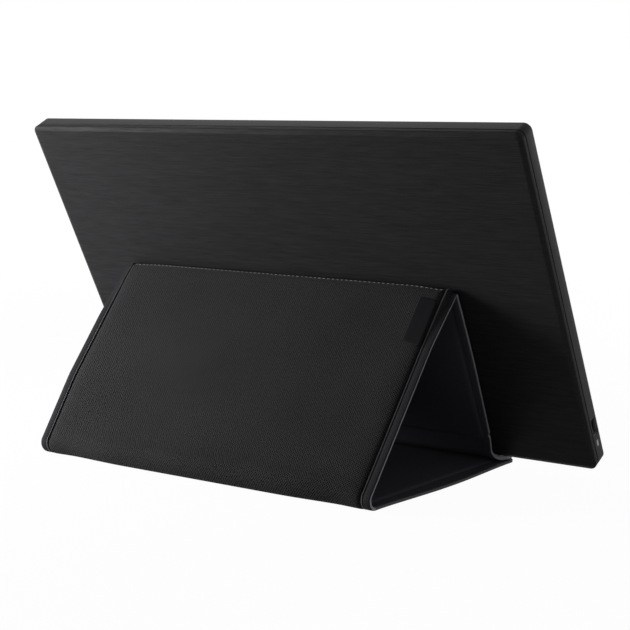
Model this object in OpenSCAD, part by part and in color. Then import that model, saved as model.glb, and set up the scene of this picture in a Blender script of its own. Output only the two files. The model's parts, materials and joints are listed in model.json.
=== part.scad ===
// Flat portable monitor standing in its folding fabric cover.
// X runs along the monitor's width, the screen faces -Y, Z is up.
// The origin lies on the table, under the middle of the monitor's lower rear edge.

/* [Monitor case] */
// Depth of the flat side, from its rear edge to the front
side_d = 12.1; // [11.8:0.1:14]
// Depth of the rear cover's strip of the side
cover_side_d = 3.2; // [2.6:0.1:3.8]
// Open groove between rear cover and front frame
seam_gap = 0.3; // [0.2:0.05:0.5]
// How far the back face stands proud of the side's rear edge
bevel_d = 1.4; // [1:0.1:2]
// Width of the bevel round the back face
bevel_w = 2.8; // [2:0.1:4]
// Radius of the four case corners
corner_r = 6; // [4:0.5:9]
// Thickness of the moulded case walls
wall = 1.6; // [1.4:0.1:1.8]
// Thickness of the lip that locates the two case halves
lip_t = 1; // [0.8:0.1:1.2]
// Depth of that lip past the seam
lip_d = 2.4; // [1.5:0.1:3]

/* [Screen] */
// Width of the picture area
screen_w = 344.2; // [300:0.1:400]
// Height of the picture area
screen_h = 193.5; // [170:0.1:230]
// Width of the bezel at each side
bezel_side = 19.1; // [10:0.1:30]
// Height of the upper bezel
bezel_top = 17; // [10:0.1:30]
// Height of the lower bezel
bezel_low = 25.9; // [25.5:0.1:30]
// Thickness of the bezel face
face_t = 1.4; // [1.2:0.1:1.6]
// Border of the display cell at its top and sides
cell_border = 3; // [2:0.1:4]
// Border of the display cell at the bottom, over the lamps
cell_border_low = 5; // [4.5:0.1:5.3]
// Thickness of the display cell
cell_t = 1.4; // [1.2:0.1:1.6]
// Thickness of the stack of optical sheets
sheets_t = 0.7; // [0.5:0.05:0.8]
// Thickness of the light guide
guide_t = 2; // [1.6:0.1:2.2]
// Thickness of the reflector
reflector_t = 0.3; // [0.2:0.05:0.4]
// Thickness of the steel pan behind the display
pan_t = 0.6; // [0.5:0.05:0.7]
// Width of the lamp strip along the light guide's lower edge
lamp_w = 2; // [1.5:0.1:2.5]

/* [Boards] */
// Thickness of the circuit boards
pcb_t = 1.2; // [1:0.1:1.4]
// Stand-off between the pan and the boards
board_gap = 0.5; // [0.3:0.05:0.6]
// Length of the main board
main_w = 92; // [80:1:100]
// Height of the main board
main_h = 62; // [50:1:70]
// Gap between the main board and the case wall
main_gap = 1; // [0.5:0.1:2]
// Length of the main board below the socket
main_low = 12; // [10:0.5:16]
// Length of the display driver board
driver_w = 190; // [150:1:210]
// Height of the driver board
driver_h = 15; // [12:0.5:18]
// Gap between the main board and the driver board
driver_gap = 14; // [8:0.5:20]
// Height of the driver board above the main board's lower edge
driver_up = 22; // [16:0.5:30]
// Side of the largest chip
chip_w = 14; // [10:0.5:16]
// Thickness of the chips
chip_t = 1.4; // [0.8:0.1:1.8]
// Gap between chips
chip_gap = 4; // [2:0.5:6]
// Thickness of the flat cables
ribbon_t = 0.25; // [0.2:0.05:0.3]
// Width of the buttons' flat cable
ribbon_w = 4.5; // [3:0.5:6]
// Length by which a flat cable laps a board
ribbon_lap = 8; // [5:0.5:10]
// Height of the connectors' border round a flat cable
ribbon_edge = 0.5; // [0.3:0.1:0.8]
// Distance of the board screws from the edges
screw_inset = 5; // [4:0.5:7]
// Shank radius of the board screws
screw_r = 1; // [0.8:0.05:1.1]
// Head radius of the board screws
screw_head_r = 2; // [1.8:0.1:2.4]
// Head height of the board screws
screw_head_t = 0.8; // [0.6:0.1:1]

/* [Side socket and light] */
// Height of the socket's mouth along the side
socket_h = 12; // [10:0.1:13]
// Width of the socket's mouth across the side
socket_d = 5.2; // [4.6:0.1:5.6]
// Depth of the socket into the case
socket_l = 8.5; // [7:0.1:9.5]
// Sheet thickness of the socket's steel shell
socket_t = 0.4; // [0.3:0.05:0.5]
// Setback of the socket's mouth from the case side
socket_in = 0.4; // [0.2:0.05:0.8]
// Height of the socket's middle above the lower edge
socket_v = 28; // [24:0.5:40]
// Thickness of the contact tongue
tongue_t = 1.2; // [0.8:0.1:1.6]
// Setback of the tongue from the socket's mouth
tongue_in = 2.1; // [1:0.1:3]
// Gap between the tongue and the shell at either end
tongue_gap = 1.2; // [0.6:0.1:2]
// Height of the light's middle above the lower edge
light_v = 15.6; // [13:0.1:17]
// Height of the light window
light_h = 4.4; // [3:0.1:5]
// Width of the light window
light_d = 2; // [1.5:0.1:2.4]
// Setback of the light window from the case side
light_in = 0.1; // [0:0.05:0.3]
// Width of the light guide's foot on the main board
light_foot = 1.5; // [1:0.1:2]

/* [Buttons] */
// Length of a button cap
key_w = 11; // [9:0.5:13]
// Height of a button cap
key_h = 4.6; // [4:0.1:5.4]
// How far a cap stands proud of the bezel
key_proud = 0.9; // [0.8:0.05:1.2]
// Travel of a button
key_travel = 0.6; // [0.4:0.05:0.7]
// Rim of a cap's flange behind the bezel
key_flange = 1.4; // [1:0.1:1.8]
// Thickness of that flange
key_flange_t = 0.8; // [0.6:0.1:1]
// Height of the buttons' middle above the lower edge
key_v = 10.5; // [9:0.1:11]
// Distance of the power button's middle from the case side
key_side = 24; // [20:1:40]
// Distance between the two buttons
key_pitch = 24; // [20:1:30]
// Radius of the power light's window
led_r = 1; // [0.7:0.1:1.3]
// Side of a push switch
switch_w = 5; // [4:0.1:6]
// Thickness of a push switch
switch_t = 1.6; // [1.4:0.1:2]
// Height of the button board
button_pcb_h = 11; // [9:0.5:12]
// Length of the button board past the outer ends of the caps
button_pcb_end = 7; // [6:0.5:10]
// Radius of the posts that carry the button board
post_r = 2; // [1.5:0.1:2.5]

/* [Cover panels] */
// Width of the folding cover
cover_w = 262.9; // [240:0.1:300]
// Offset of the cover's middle from the monitor's middle
cover_x = 6; // [-20:0.5:20]
// Thickness of the outer fabric
fabric_t = 0.8; // [0.6:0.05:1]
// Thickness of the stiffening boards
board_t = 1.6; // [1.4:0.1:2]
// Thickness of the lining
lining_t = 0.8; // [0.6:0.05:1]
// Width of the sewn hem, free of board
hem_w = 8; // [6:0.5:12]
// Length of floor panel in front of the monitor's lower rear edge
floor_front = 15.5; // [14:0.5:25]
// Straight length of the leaning panel, between its folds
lean_len = 116.1; // [100:0.1:130]
// Angle of the rear panel above the table
slope_angle = 51.6; // [45:0.1:60]
// Angle of the leaning panel above the table
lean_angle = 63.7; // [58:0.1:68]
// How far the tray's front edge stays behind the floor's
tray_back = 1; // [0:0.5:3]
// Length of soft fabric between the leaning panel's board and the foot fold
foot_soft = 12.4; // [8:0.2:20]
// Radius of the panels' free corners
panel_corner_r = 6; // [3:0.5:10]

/* [Cover folds] */
// Outer radius of the rear fold
rear_fold_r = 7.9; // [6:0.1:9]
// Outer radius of the ridge fold
ridge_fold_r = 8.5; // [7:0.1:10]
// Radius of the foot fold on its upper face
foot_fold_r = 8; // [6:0.1:9]
// Distance of the foot corner behind the monitor's lower rear edge
foot_gap = 5; // [4.6:0.1:8]
// Length of panel beside a fold that holds no board
fold_margin = 3; // [2:0.5:5]
// Setback of the linings from the panels' free edges
lining_in = 0.6; // [0.4:0.1:1.5]

/* [Label and magnets] */
// Width of the sewn-on label
label_w = 12.5; // [8:0.5:20]
// Length of the label down the panel
label_h = 32; // [20:0.5:50]
// Thickness of the label
label_t = 0.6; // [0.4:0.05:0.8]
// Distance of the label from the cover's edge
label_side = 5; // [3:0.5:30]
// Distance of the label below the ridge fold
label_down = 3; // [2:0.5:20]
// Radius of the holding magnets
magnet_r = 3; // [2:0.1:4]
// Distance of the magnets from the cover's middle
magnet_x = 90; // [50:1:110]

/* [Clearances] */
// Gap under the monitor's edge on the tray
rest_gap = 0.1; // [0.05:0.05:0.3]
// Gap between the monitor's back and the ridge
lean_gap = 0.3; // [0.2:0.05:0.5]
// Gap between parts assembled inside one another
fit_gap = 0.15; // [0.1:0.05:0.3]
// Gap round a sliding button
key_gap = 0.2; // [0.15:0.05:0.3]
// Radial gap round a screw's thread
screw_gap = 0.05; // [0.03:0.01:0.1]
// Gap in front of the display cell and of the switches
front_gap = 0.1; // [0.05:0.05:0.3]
// Gap between a fold strip and the panels beside it
strip_gap = 0.02; // [0.01:0.01:0.05]

/* [Hidden] */
$fn = 64;
eps = 0.01;
fabric_color = [0.13, 0.13, 0.14];
lining_color = [0.09, 0.09, 0.1];
case_color = [0.11, 0.11, 0.12];

// Cover section, as points in the YZ plane
panel_t = fabric_t + board_t + lining_t;
shell_t = fabric_t + board_t;
fold_t = fabric_t + lining_t;
slope_turn = 180 - slope_angle;
lean_turn = 180 + lean_angle;
slope_dir = [cos(slope_turn), sin(slope_turn)];
slope_out = [sin(slope_turn), -cos(slope_turn)];
lean_dir = [cos(lean_turn), sin(lean_turn)];
lean_out = [sin(lean_turn), -cos(lean_turn)];
tray_top = 2 * panel_t;
foot_reach = foot_fold_r * tan(lean_angle / 2);
tray_rear = [foot_gap - foot_reach, tray_top];
foot_centre = tray_rear + [0, foot_fold_r];
lean_foot = [foot_gap, tray_top] - foot_reach * lean_dir;
lean_top = lean_foot - lean_len * lean_dir;
ridge_centre = lean_top - ridge_fold_r * lean_out;
slope_top = ridge_centre + ridge_fold_r * slope_out;
slope_foot_z = rear_fold_r + rear_fold_r * slope_out[1];
slope_len = (slope_top[1] - slope_foot_z) / slope_dir[1];
slope_foot = slope_top - slope_len * slope_dir;
rear_centre = [slope_foot[0] - rear_fold_r * slope_out[0], rear_fold_r];
floor_len = floor_front + rear_centre[0];
tray_len = tray_rear[0] + floor_front - tray_back;
tray_hem = tray_len / 4;

// Monitor placing: its lower rear edge is on the tray, its back leans on the ridge
rest_z = tray_top + rest_gap;
ridge_arm = ridge_centre - [0, rest_z];
tilt = atan2(ridge_arm[0], ridge_arm[1])
    - asin((bevel_d + lean_gap + ridge_fold_r) / norm(ridge_arm));

// Case outline
mon_w = screen_w + 2 * bezel_side;
mon_h = bezel_low + screen_h + bezel_top;

// Depths inside the monitor, along its own Y
face_in = face_t - side_d;
cell_y = face_in + front_gap;
sheets_y = cell_y + cell_t;
guide_y = sheets_y + sheets_t;
reflector_y = guide_y + guide_t;
pan_y = reflector_y + reflector_t;
pcb_y = pan_y + pan_t + board_gap;
pcb_back = pcb_y + pcb_t;
seam_y = -cover_side_d;
frame_back = seam_y - seam_gap;
lip_root = 0.2;
lip_notch = wall + fit_gap + lip_t + 1;

// Display outline
cell_w = screen_w + 2 * cell_border;
cell_h = screen_h + cell_border + cell_border_low;
cell_v = bezel_low - cell_border_low;
guide_v = cell_v + lamp_w + fit_gap;
guide_h = cell_h - lamp_w - fit_gap;
pan_rim = fit_gap + pan_t;

// Boards
main_x = -mon_w / 2 + wall + main_gap;
main_v = socket_v - socket_h / 2 - main_low;
driver_x = main_x + main_w + driver_gap;
driver_v = main_v + driver_up;
screw_x = main_x + main_w - screw_inset;
screw_v = main_v + main_h - screw_inset;
screw_spots = [[-cell_w / 2 + screw_inset, screw_v], [screw_x, screw_v], [screw_x, cell_v + screw_inset]];

// Buttons
power_x = mon_w / 2 - key_side;
brightness_x = power_x - key_pitch;
led_x = power_x - key_pitch / 2;
flange_y = face_in;
switch_y = flange_y + key_flange_t + key_travel + front_gap;
button_pcb_y = switch_y + switch_t;
button_pcb_w = key_pitch + key_w + 2 * button_pcb_end;

module monitor_pose() {
    translate([0, 0, rest_z]) rotate([-tilt, 0, 0]) children();
}

// A rounded outline of the case, inset by the given amount
module case_outline(inset) {
    r = max(corner_r - inset, 0.6);
    w = mon_w - 2 * inset;
    h = mon_h - 2 * inset;
    translate([-w / 2 + r, inset]) square([w - 2 * r, h]);
    translate([-w / 2, inset + r]) square([w, h - 2 * r]);
    for (x = [-w / 2 + r, w / 2 - r])
        for (v = [inset + r, inset + h - r])
            translate([x, v]) circle(r);
}

// Slab of an outline in the monitor's XZ plane, from depth y0 to y1
module slab(y0, y1) {
    translate([0, y1, 0]) rotate([90, 0, 0]) linear_extrude(y1 - y0) children();
}

// Box in the monitor's frame, from its left, lower, front corner
module block(x, v, y, w, h, t) {
    translate([x, y, v]) cube([w, t, h]);
}

// Section of the case with its two bevels, over a given length
module bevel_section(length, inset, depth) {
    i = inset;
    polygon([[i, depth], [i, 0], [i + bevel_w, bevel_d - i], [length - i - bevel_w, bevel_d - i],
        [length - i, 0], [length - i, depth]]);
}

// Bevelled block of the rear cover, solid, inset all round
module bevel_block(inset, depth) {
    intersection() {
        slab(depth - eps, bevel_d + 1) case_outline(inset);
        translate([-mon_w / 2, 0, -1]) linear_extrude(mon_h + 2) bevel_section(mon_w, inset, depth);
        translate([-mon_w / 2 - 1, 0, 0]) rotate([90, 0, 90]) linear_extrude(mon_w + 2)
            bevel_section_upright(mon_h, inset, depth);
    }
}

module bevel_section_upright(length, inset, depth) {
    i = inset;
    polygon([[depth, i], [0, i], [bevel_d - i, i + bevel_w], [bevel_d - i, length - i - bevel_w],
        [0, length - i], [depth, length - i]]);
}

module rear_cover() {
    color(case_color) monitor_pose() {
        difference() {
            bevel_block(0, seam_y);
            bevel_block(wall, seam_y - 1);
        }
        difference() {
            slab(frame_back - lip_d, lip_root) case_outline(wall + fit_gap);
            slab(frame_back - lip_d - 1, 1) case_outline(wall + fit_gap + lip_t);
            block(-mon_w / 2, main_v - 1, frame_back - lip_d - 1, lip_notch, main_h + 2, lip_d + 1);
        }
    }
}

module key_outline(grow) {
    r = key_h / 2 + grow;
    for (x = [-1, 1])
        translate([x * (key_w - key_h) / 2, 0]) circle(r);
    translate([-(key_w - key_h) / 2, -r]) square([key_w - key_h, 2 * r]);
}

module frame_shell() {
    difference() {
        slab(-side_d, frame_back) case_outline(0);
        slab(face_in, 0) case_outline(wall);
        block(-screen_w / 2, bezel_low, -side_d - 1, screen_w, screen_h, face_t + 2);
        block(-mon_w / 2 - 1, socket_v - socket_h / 2 - fit_gap, pcb_y - socket_d - fit_gap, wall + 2,
            socket_h + 2 * fit_gap, socket_d + 2 * fit_gap);
        block(-mon_w / 2 - 1, light_v - light_h / 2 - fit_gap, light_y() - fit_gap, wall + 2,
            light_h + 2 * fit_gap, light_d + 2 * fit_gap);
        for (x = [power_x, brightness_x])
            translate([x, 0, key_v]) slab(-side_d - 1, face_in + 1) key_outline(key_gap);
        translate([led_x, 0, key_v]) slab(-side_d - 1, face_in + 1) circle(led_r + screw_gap);
    }
}

module front_frame() {
    color(case_color) monitor_pose() {
        frame_shell();
        for (side = [-1, 1])
            translate([led_x + side * (button_pcb_w / 2 - post_r - 1), 0, key_v])
                slab(face_in - eps, button_pcb_y) circle(post_r);
    }
}

module display_cell() {
    color([0.02, 0.02, 0.03]) monitor_pose()
        block(-cell_w / 2, cell_v, cell_y, cell_w, cell_h, cell_t);
}

module optical_sheets() {
    color([0.92, 0.93, 0.95]) monitor_pose()
        block(-cell_w / 2, cell_v, sheets_y, cell_w, cell_h, sheets_t);
}

module light_guide() {
    color([0.85, 0.9, 0.95]) monitor_pose()
        block(-cell_w / 2, guide_v, guide_y, cell_w, guide_h, guide_t);
}

module reflector_sheet() {
    color([0.97, 0.97, 0.97]) monitor_pose()
        block(-cell_w / 2, guide_v, reflector_y, cell_w, guide_h, reflector_t);
}

module lamp_strip() {
    color([0.95, 0.95, 0.85]) monitor_pose()
        block(-cell_w / 2, cell_v, guide_y, cell_w, lamp_w, guide_t);
}

module display_pan() {
    w = cell_w + 2 * pan_rim;
    h = cell_h + 2 * pan_rim;
    color([0.68, 0.69, 0.7]) monitor_pose() difference() {
        union() {
            block(-w / 2, cell_v - pan_rim, cell_y, w, h, pan_y + pan_t - cell_y);
            for (p = screw_spots)
                translate([p[0], 0, p[1]]) slab(pan_y, pcb_y) circle(screw_head_r);
        }
        block(-cell_w / 2 - fit_gap, cell_v - fit_gap, cell_y - 1, cell_w + 2 * fit_gap,
            cell_h + 2 * fit_gap, pan_y - cell_y + 1);
        for (p = screw_spots)
            translate([p[0], 0, p[1]]) slab(pan_y - 1, pcb_y + 1) circle(screw_r + screw_gap);
    }
}

module driver_board() {
    color([0.05, 0.25, 0.12]) monitor_pose()
        block(driver_x, driver_v, pan_y + pan_t, driver_w, driver_h, pcb_back - pan_y - pan_t);
}

module main_board() {
    color([0.05, 0.3, 0.15]) monitor_pose() difference() {
        block(main_x, main_v, pcb_y, main_w, main_h, pcb_t);
        for (p = screw_spots)
            translate([p[0], 0, p[1]]) slab(pcb_y - 1, pcb_back + 1) circle(screw_r + fit_gap);
    }
}

// Chips on the back of the main board, and the ribbon's connector on its front
module board_chips() {
    small_w = chip_w / 2;
    x = main_x + main_w / 3;
    v = main_v + main_h / 3;
    ribbon_back = button_pcb_y + pcb_t + ribbon_t;
    color([0.06, 0.06, 0.07]) monitor_pose() {
        block(x, v, pcb_back, chip_w, chip_w, chip_t);
        for (i = [0 : 2])
            block(x + i * (small_w + chip_gap), v + chip_w + chip_gap, pcb_back, small_w, small_w, chip_t);
        block(main_x + main_w - ribbon_lap, key_v, ribbon_back, ribbon_lap, ribbon_w + 2 * ribbon_edge,
            pcb_y - ribbon_back);
    }
}

module board_screws() {
    color([0.75, 0.75, 0.77]) monitor_pose()
        for (p = screw_spots)
            translate([p[0], 0, p[1]]) {
                slab(pcb_back, pcb_back + screw_head_t) circle(screw_head_r);
                slab(pan_y + eps, pcb_back + eps) circle(screw_r);
            }
}

module display_ribbon() {
    x0 = main_x + main_w - ribbon_lap;
    color([0.8, 0.6, 0.3]) monitor_pose()
        block(x0, driver_v + ribbon_edge, pcb_back, driver_x + ribbon_lap - x0, driver_h - 2 * ribbon_edge,
            ribbon_t);
}

module button_ribbon() {
    x0 = main_x + main_w - ribbon_lap;
    x1 = led_x - button_pcb_w / 2 + ribbon_lap;
    color([0.8, 0.6, 0.3]) monitor_pose()
        block(x0, key_v + ribbon_edge, button_pcb_y + pcb_t, x1 - x0, ribbon_w, ribbon_t);
}

module button_board() {
    color([0.05, 0.3, 0.15]) monitor_pose()
        block(led_x - button_pcb_w / 2, key_v - button_pcb_h / 2, button_pcb_y, button_pcb_w, button_pcb_h,
            pcb_t);
}

module button_switches() {
    color([0.2, 0.2, 0.2]) monitor_pose()
        for (x = [power_x, brightness_x])
            block(x - switch_w / 2, key_v - switch_w / 2, switch_y, switch_w, switch_w, switch_t);
}

module socket_shell() {
    x = -mon_w / 2 + socket_in;
    color([0.75, 0.76, 0.78]) monitor_pose() difference() {
        block(x, socket_v - socket_h / 2, pcb_y - socket_d, socket_l, socket_h, socket_d);
        block(x - 1, socket_v - socket_h / 2 + socket_t, pcb_y - socket_d + socket_t, socket_l + 1 - socket_t,
            socket_h - 2 * socket_t, socket_d - 2 * socket_t);
    }
}

module socket_tongue() {
    h = socket_h - 2 * (socket_t + tongue_gap);
    color([0.04, 0.04, 0.05]) monitor_pose()
        block(-mon_w / 2 + socket_in + tongue_in, socket_v - h / 2, pcb_y - socket_d / 2 - tongue_t / 2,
            socket_l - socket_t - tongue_in, h, tongue_t);
}

// Depth of the light window's front edge, on the socket's middle line
function light_y() = pcb_y - socket_d / 2 - light_d / 2;

module indicator_light() {
    x = -mon_w / 2 + light_in;
    v = light_v - light_h / 2;
    inner = main_x + front_gap + light_foot;
    color([0.85, 0.86, 0.88]) monitor_pose() {
        block(x, v, light_y(), inner - x, light_h, light_d);
        block(inner - light_foot, v, light_y(), light_foot, light_h, pcb_y - light_y());
    }
}

module power_led() {
    color([0.8, 0.85, 0.9]) monitor_pose() translate([led_x, 0, key_v])
        slab(-side_d + 0.05, button_pcb_y) circle(led_r);
}

module button_cap() {
    slab(-side_d - key_proud, flange_y + eps) key_outline(0);
    slab(flange_y, flange_y + key_flange_t) key_outline(key_flange);
}

module power_button() {
    color([0.16, 0.16, 0.17]) monitor_pose() translate([power_x, 0, key_v]) button_cap();
}

module brightness_button() {
    color([0.16, 0.16, 0.17]) monitor_pose() translate([brightness_x, 0, key_v]) button_cap();
}

// Outline of a panel: its near end lies at y = 0, and round_near or round_far rounds an end's corners
module panel_outline(length, inset, round_near, round_far) {
    w = cover_w - 2 * inset;
    r = max(panel_corner_r - inset, 0.5);
    near = round_near ? inset + r : 0;
    far = round_far ? length - inset - r : length;
    translate([cover_x - w / 2, near]) square([w, far - near]);
    if (round_near) panel_end(w, inset + r, r, -1);
    if (round_far) panel_end(w, length - inset - r, r, 1);
}

module panel_end(w, y, r, side) {
    for (x = [-w / 2 + r, w / 2 - r])
        translate([cover_x + x, y]) circle(r);
    translate([cover_x - w / 2 + r, side > 0 ? y : y - r]) square([w - 2 * r, r]);
}

// Board area of a panel, from y0 to y1 along it
module board_area(y0, y1) {
    translate([cover_x - cover_w / 2 + hem_w, y0]) square([cover_w - 2 * hem_w, y1 - y0]);
}

// Outer fabric of a panel: a skin whose turned hem frames the board
module fabric_shell(length, round_near, round_far, y0, y1) {
    difference() {
        linear_extrude(shell_t) panel_outline(length, 0, round_near, round_far);
        translate([0, 0, fabric_t]) linear_extrude(shell_t) board_area(y0, y1);
    }
}

module stiff_board(y0, y1) {
    translate([0, 0, fabric_t]) linear_extrude(board_t) board_area(y0 + fit_gap, y1 - fit_gap);
}

module lining_sheet(length, round_near, round_far) {
    translate([0, 0, shell_t]) linear_extrude(lining_t) panel_outline(length, lining_in, round_near, round_far);
}

module magnet_pair(y, z) {
    for (x = [-magnet_x, magnet_x])
        translate([cover_x + x, y, z]) cylinder(r = magnet_r, h = board_t);
}

module magnet_holes(y) {
    for (x = [-magnet_x, magnet_x])
        translate([cover_x + x, y, 0]) cylinder(r = magnet_r + fit_gap, h = panel_t);
}

// Places of the four panels: the outer face is the local z = 0, the lining faces local +z
module on_floor() {
    translate([0, -floor_front, 0]) children();
}

module on_slope() {
    translate([0, slope_foot[0], slope_foot[1]]) rotate([slope_turn, 0, 0]) children();
}

module on_lean() {
    translate([0, lean_top[0], lean_top[1]]) rotate([lean_turn, 0, 0]) children();
}

module on_tray() {
    translate([0, tray_rear[0], tray_top]) rotate([180, 0, 0]) children();
}

floor_magnet_y = floor_front + tray_rear[0] - tray_len / 2;
slope_board_y = [fold_margin, slope_len - fold_margin];
lean_board_y = [fold_margin, lean_len - foot_soft];
floor_board_y = [tray_back + tray_hem / 2, floor_len - fold_margin];
tray_board_y = [tray_hem, tray_len - tray_hem];

module floor_fabric() {
    color(fabric_color) on_floor() fabric_shell(floor_len, true, false, floor_board_y[0], floor_board_y[1]);
}

module floor_board() {
    color([0.45, 0.42, 0.38]) on_floor() difference() {
        stiff_board(floor_board_y[0], floor_board_y[1]);
        magnet_holes(floor_magnet_y);
    }
}

module floor_lining() {
    color(lining_color) on_floor() lining_sheet(floor_len, true, false);
}

module floor_magnets() {
    color([0.7, 0.7, 0.72]) on_floor() magnet_pair(floor_magnet_y, fabric_t);
}

module slope_fabric() {
    color(fabric_color) on_slope() fabric_shell(slope_len, false, false, slope_board_y[0], slope_board_y[1]);
}

module slope_board() {
    color([0.45, 0.42, 0.38]) on_slope() stiff_board(slope_board_y[0], slope_board_y[1]);
}

module slope_lining() {
    color(lining_color) on_slope() lining_sheet(slope_len, false, false);
}

module lean_fabric() {
    color(fabric_color) on_lean() fabric_shell(lean_len, false, false, lean_board_y[0], lean_board_y[1]);
}

module lean_board() {
    color([0.45, 0.42, 0.38]) on_lean() stiff_board(lean_board_y[0], lean_board_y[1]);
}

module lean_lining() {
    color(lining_color) on_lean() lining_sheet(lean_len, false, false);
}

module tray_fabric() {
    color(fabric_color) on_tray() fabric_shell(tray_len, false, true, tray_board_y[0], tray_board_y[1]);
}

module tray_board() {
    color([0.45, 0.42, 0.38]) on_tray() difference() {
        stiff_board(tray_board_y[0], tray_board_y[1]);
        magnet_holes(tray_len / 2);
    }
}

module tray_lining() {
    color(lining_color) on_tray() lining_sheet(tray_len, false, true);
}

module tray_magnets() {
    color([0.7, 0.7, 0.72]) on_tray() magnet_pair(tray_len / 2, fabric_t);
}

// Ring sector swept across the cover, with its middle at c in the YZ plane, short of the panels at its ends
module fold_strip(c, r_in, r_out, start, end) {
    far = 3 * r_out;
    cut = strip_gap / r_in * 180 / PI;
    a0 = start + cut;
    a1 = end - cut;
    mid = (a0 + a1) / 2;
    translate([cover_x - cover_w / 2, c[0], c[1]]) rotate([90, 0, 90]) linear_extrude(cover_w)
        intersection() {
            difference() {
                circle(r_out);
                circle(r_in);
            }
            polygon([[0, 0], far * [cos(a0), sin(a0)], far * [cos(mid), sin(mid)], far * [cos(a1), sin(a1)]]);
        }
}

module rear_fold_fabric() {
    color(fabric_color) fold_strip(rear_centre, rear_fold_r - fold_t, rear_fold_r, -90, 90 - slope_angle);
}

module ridge_fold_fabric() {
    color(fabric_color) fold_strip(ridge_centre, ridge_fold_r - fold_t, ridge_fold_r, 90 - slope_angle,
        90 + lean_angle);
}

module foot_fold_fabric() {
    color(fabric_color) fold_strip(foot_centre, foot_fold_r, foot_fold_r + fold_t, -90, lean_angle - 90);
}

module sewn_label() {
    color([0.05, 0.05, 0.06]) on_slope()
        translate([cover_x - cover_w / 2 + label_side, slope_len - label_down - label_h, -label_t])
            cube([label_w, label_h, label_t]);
}

rear_cover();
front_frame();
display_cell();
optical_sheets();
light_guide();
reflector_sheet();
lamp_strip();
display_pan();
driver_board();
main_board();
board_chips();
board_screws();
display_ribbon();
button_ribbon();
button_board();
button_switches();
socket_shell();
socket_tongue();
indicator_light();
power_led();
power_button();
brightness_button();
floor_fabric();
floor_board();
floor_lining();
floor_magnets();
slope_fabric();
slope_board();
slope_lining();
rear_fold_fabric();
lean_fabric();
lean_board();
lean_lining();
ridge_fold_fabric();
tray_fabric();
tray_board();
tray_lining();
tray_magnets();
foot_fold_fabric();
sewn_label();
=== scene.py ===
"""Looks of a flat portable monitor that stands in its folding fabric cover.

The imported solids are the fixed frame: X runs along the monitor, the screen faces -Y and Z is up. Sizes
are in millimetres until a mesh is made. The case, the cover and the studio are one class each, and the
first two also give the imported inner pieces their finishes.
"""

import json
import logging
import math
from dataclasses import dataclass, field
from enum import Enum, IntEnum
from typing import Optional, Sequence

import bmesh
import bpy
import numpy as np
from mathutils import Matrix, Vector


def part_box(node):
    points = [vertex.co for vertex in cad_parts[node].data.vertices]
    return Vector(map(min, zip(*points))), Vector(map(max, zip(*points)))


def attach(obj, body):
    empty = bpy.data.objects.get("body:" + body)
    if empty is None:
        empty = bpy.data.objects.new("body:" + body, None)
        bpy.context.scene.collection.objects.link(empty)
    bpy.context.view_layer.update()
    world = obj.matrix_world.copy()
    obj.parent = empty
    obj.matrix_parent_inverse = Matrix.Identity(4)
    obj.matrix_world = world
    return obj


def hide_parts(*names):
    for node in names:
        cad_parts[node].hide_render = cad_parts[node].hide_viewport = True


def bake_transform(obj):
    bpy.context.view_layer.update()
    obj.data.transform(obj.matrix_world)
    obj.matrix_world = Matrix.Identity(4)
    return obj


LOG = logging.getLogger("monitor_with_cover")
MM = 0.001
SEED = 7
Spot = tuple[float, float]
Knots = tuple[Spot, ...]

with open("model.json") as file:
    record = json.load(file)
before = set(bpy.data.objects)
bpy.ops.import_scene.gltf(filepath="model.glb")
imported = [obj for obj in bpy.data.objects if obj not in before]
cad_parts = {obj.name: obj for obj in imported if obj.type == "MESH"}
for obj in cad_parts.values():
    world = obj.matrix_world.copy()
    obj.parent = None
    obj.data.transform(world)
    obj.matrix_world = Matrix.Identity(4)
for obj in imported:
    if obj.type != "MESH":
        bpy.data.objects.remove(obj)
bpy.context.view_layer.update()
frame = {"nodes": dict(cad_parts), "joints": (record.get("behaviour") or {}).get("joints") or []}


# Small helpers


def linear(code: str) -> tuple[float, float, float, float]:
    """Turns an sRGB hex colour into linear light.

    Args:
        code: six hex digits, with or without a leading mark.

    Returns:
        Linear red, green and blue with an alpha of one.
    """
    digits = code.lstrip("#")
    parts = [int(digits[i : i + 2], 16) / 255 for i in (0, 2, 4)]
    red, green, blue = (p / 12.92 if p <= 0.04045 else ((p + 0.055) / 1.055) ** 2.4 for p in parts)
    return red, green, blue, 1.0


def add_node(
    tree: bpy.types.NodeTree, kind: str, inputs: Optional[dict] = None, **settings: str
) -> bpy.types.Node:
    """Adds a node, sets it up and links it.

    Args:
        tree: the node tree that gets the node.
        kind: the node's type name.
        inputs: socket names or numbers, each with a plain value or an output socket to link.
        **settings: the node's own properties.

    Returns:
        The new node.
    """
    node = tree.nodes.new(kind)
    for key, value in settings.items():
        setattr(node, key, value)
    for key, value in (inputs or {}).items():
        if isinstance(value, bpy.types.NodeSocket):
            tree.links.new(value, node.inputs[key])
        else:
            node.inputs[key].default_value = value
    return node


def smooth(x: np.ndarray | float, low: float, high: float) -> np.ndarray | float:
    """Smooth step from 0 at low to 1 at high."""
    t = np.clip((np.asarray(x, float) - low) / (high - low), 0, 1)
    return t * t * (3 - 2 * t)


def hump(x: np.ndarray | float, middle: float, half: float) -> np.ndarray | float:
    """Smooth hump of height one at the middle that ends half a width away."""
    t = np.clip(np.abs(np.asarray(x, float) - middle) / half, 0, 1)
    return (1 - t * t) ** 2


def linked(name: str, data: bpy.types.ID) -> bpy.types.Object:
    """New object of the given data, in the scene."""
    made = bpy.data.objects.new(name, data)
    bpy.context.scene.collection.objects.link(made)
    return made


def fresh_tree(owner: bpy.types.Material | bpy.types.World) -> bpy.types.NodeTree:
    """Empty node tree of a material or a world."""
    owner.use_nodes = True
    owner.node_tree.nodes.clear()
    return owner.node_tree


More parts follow.
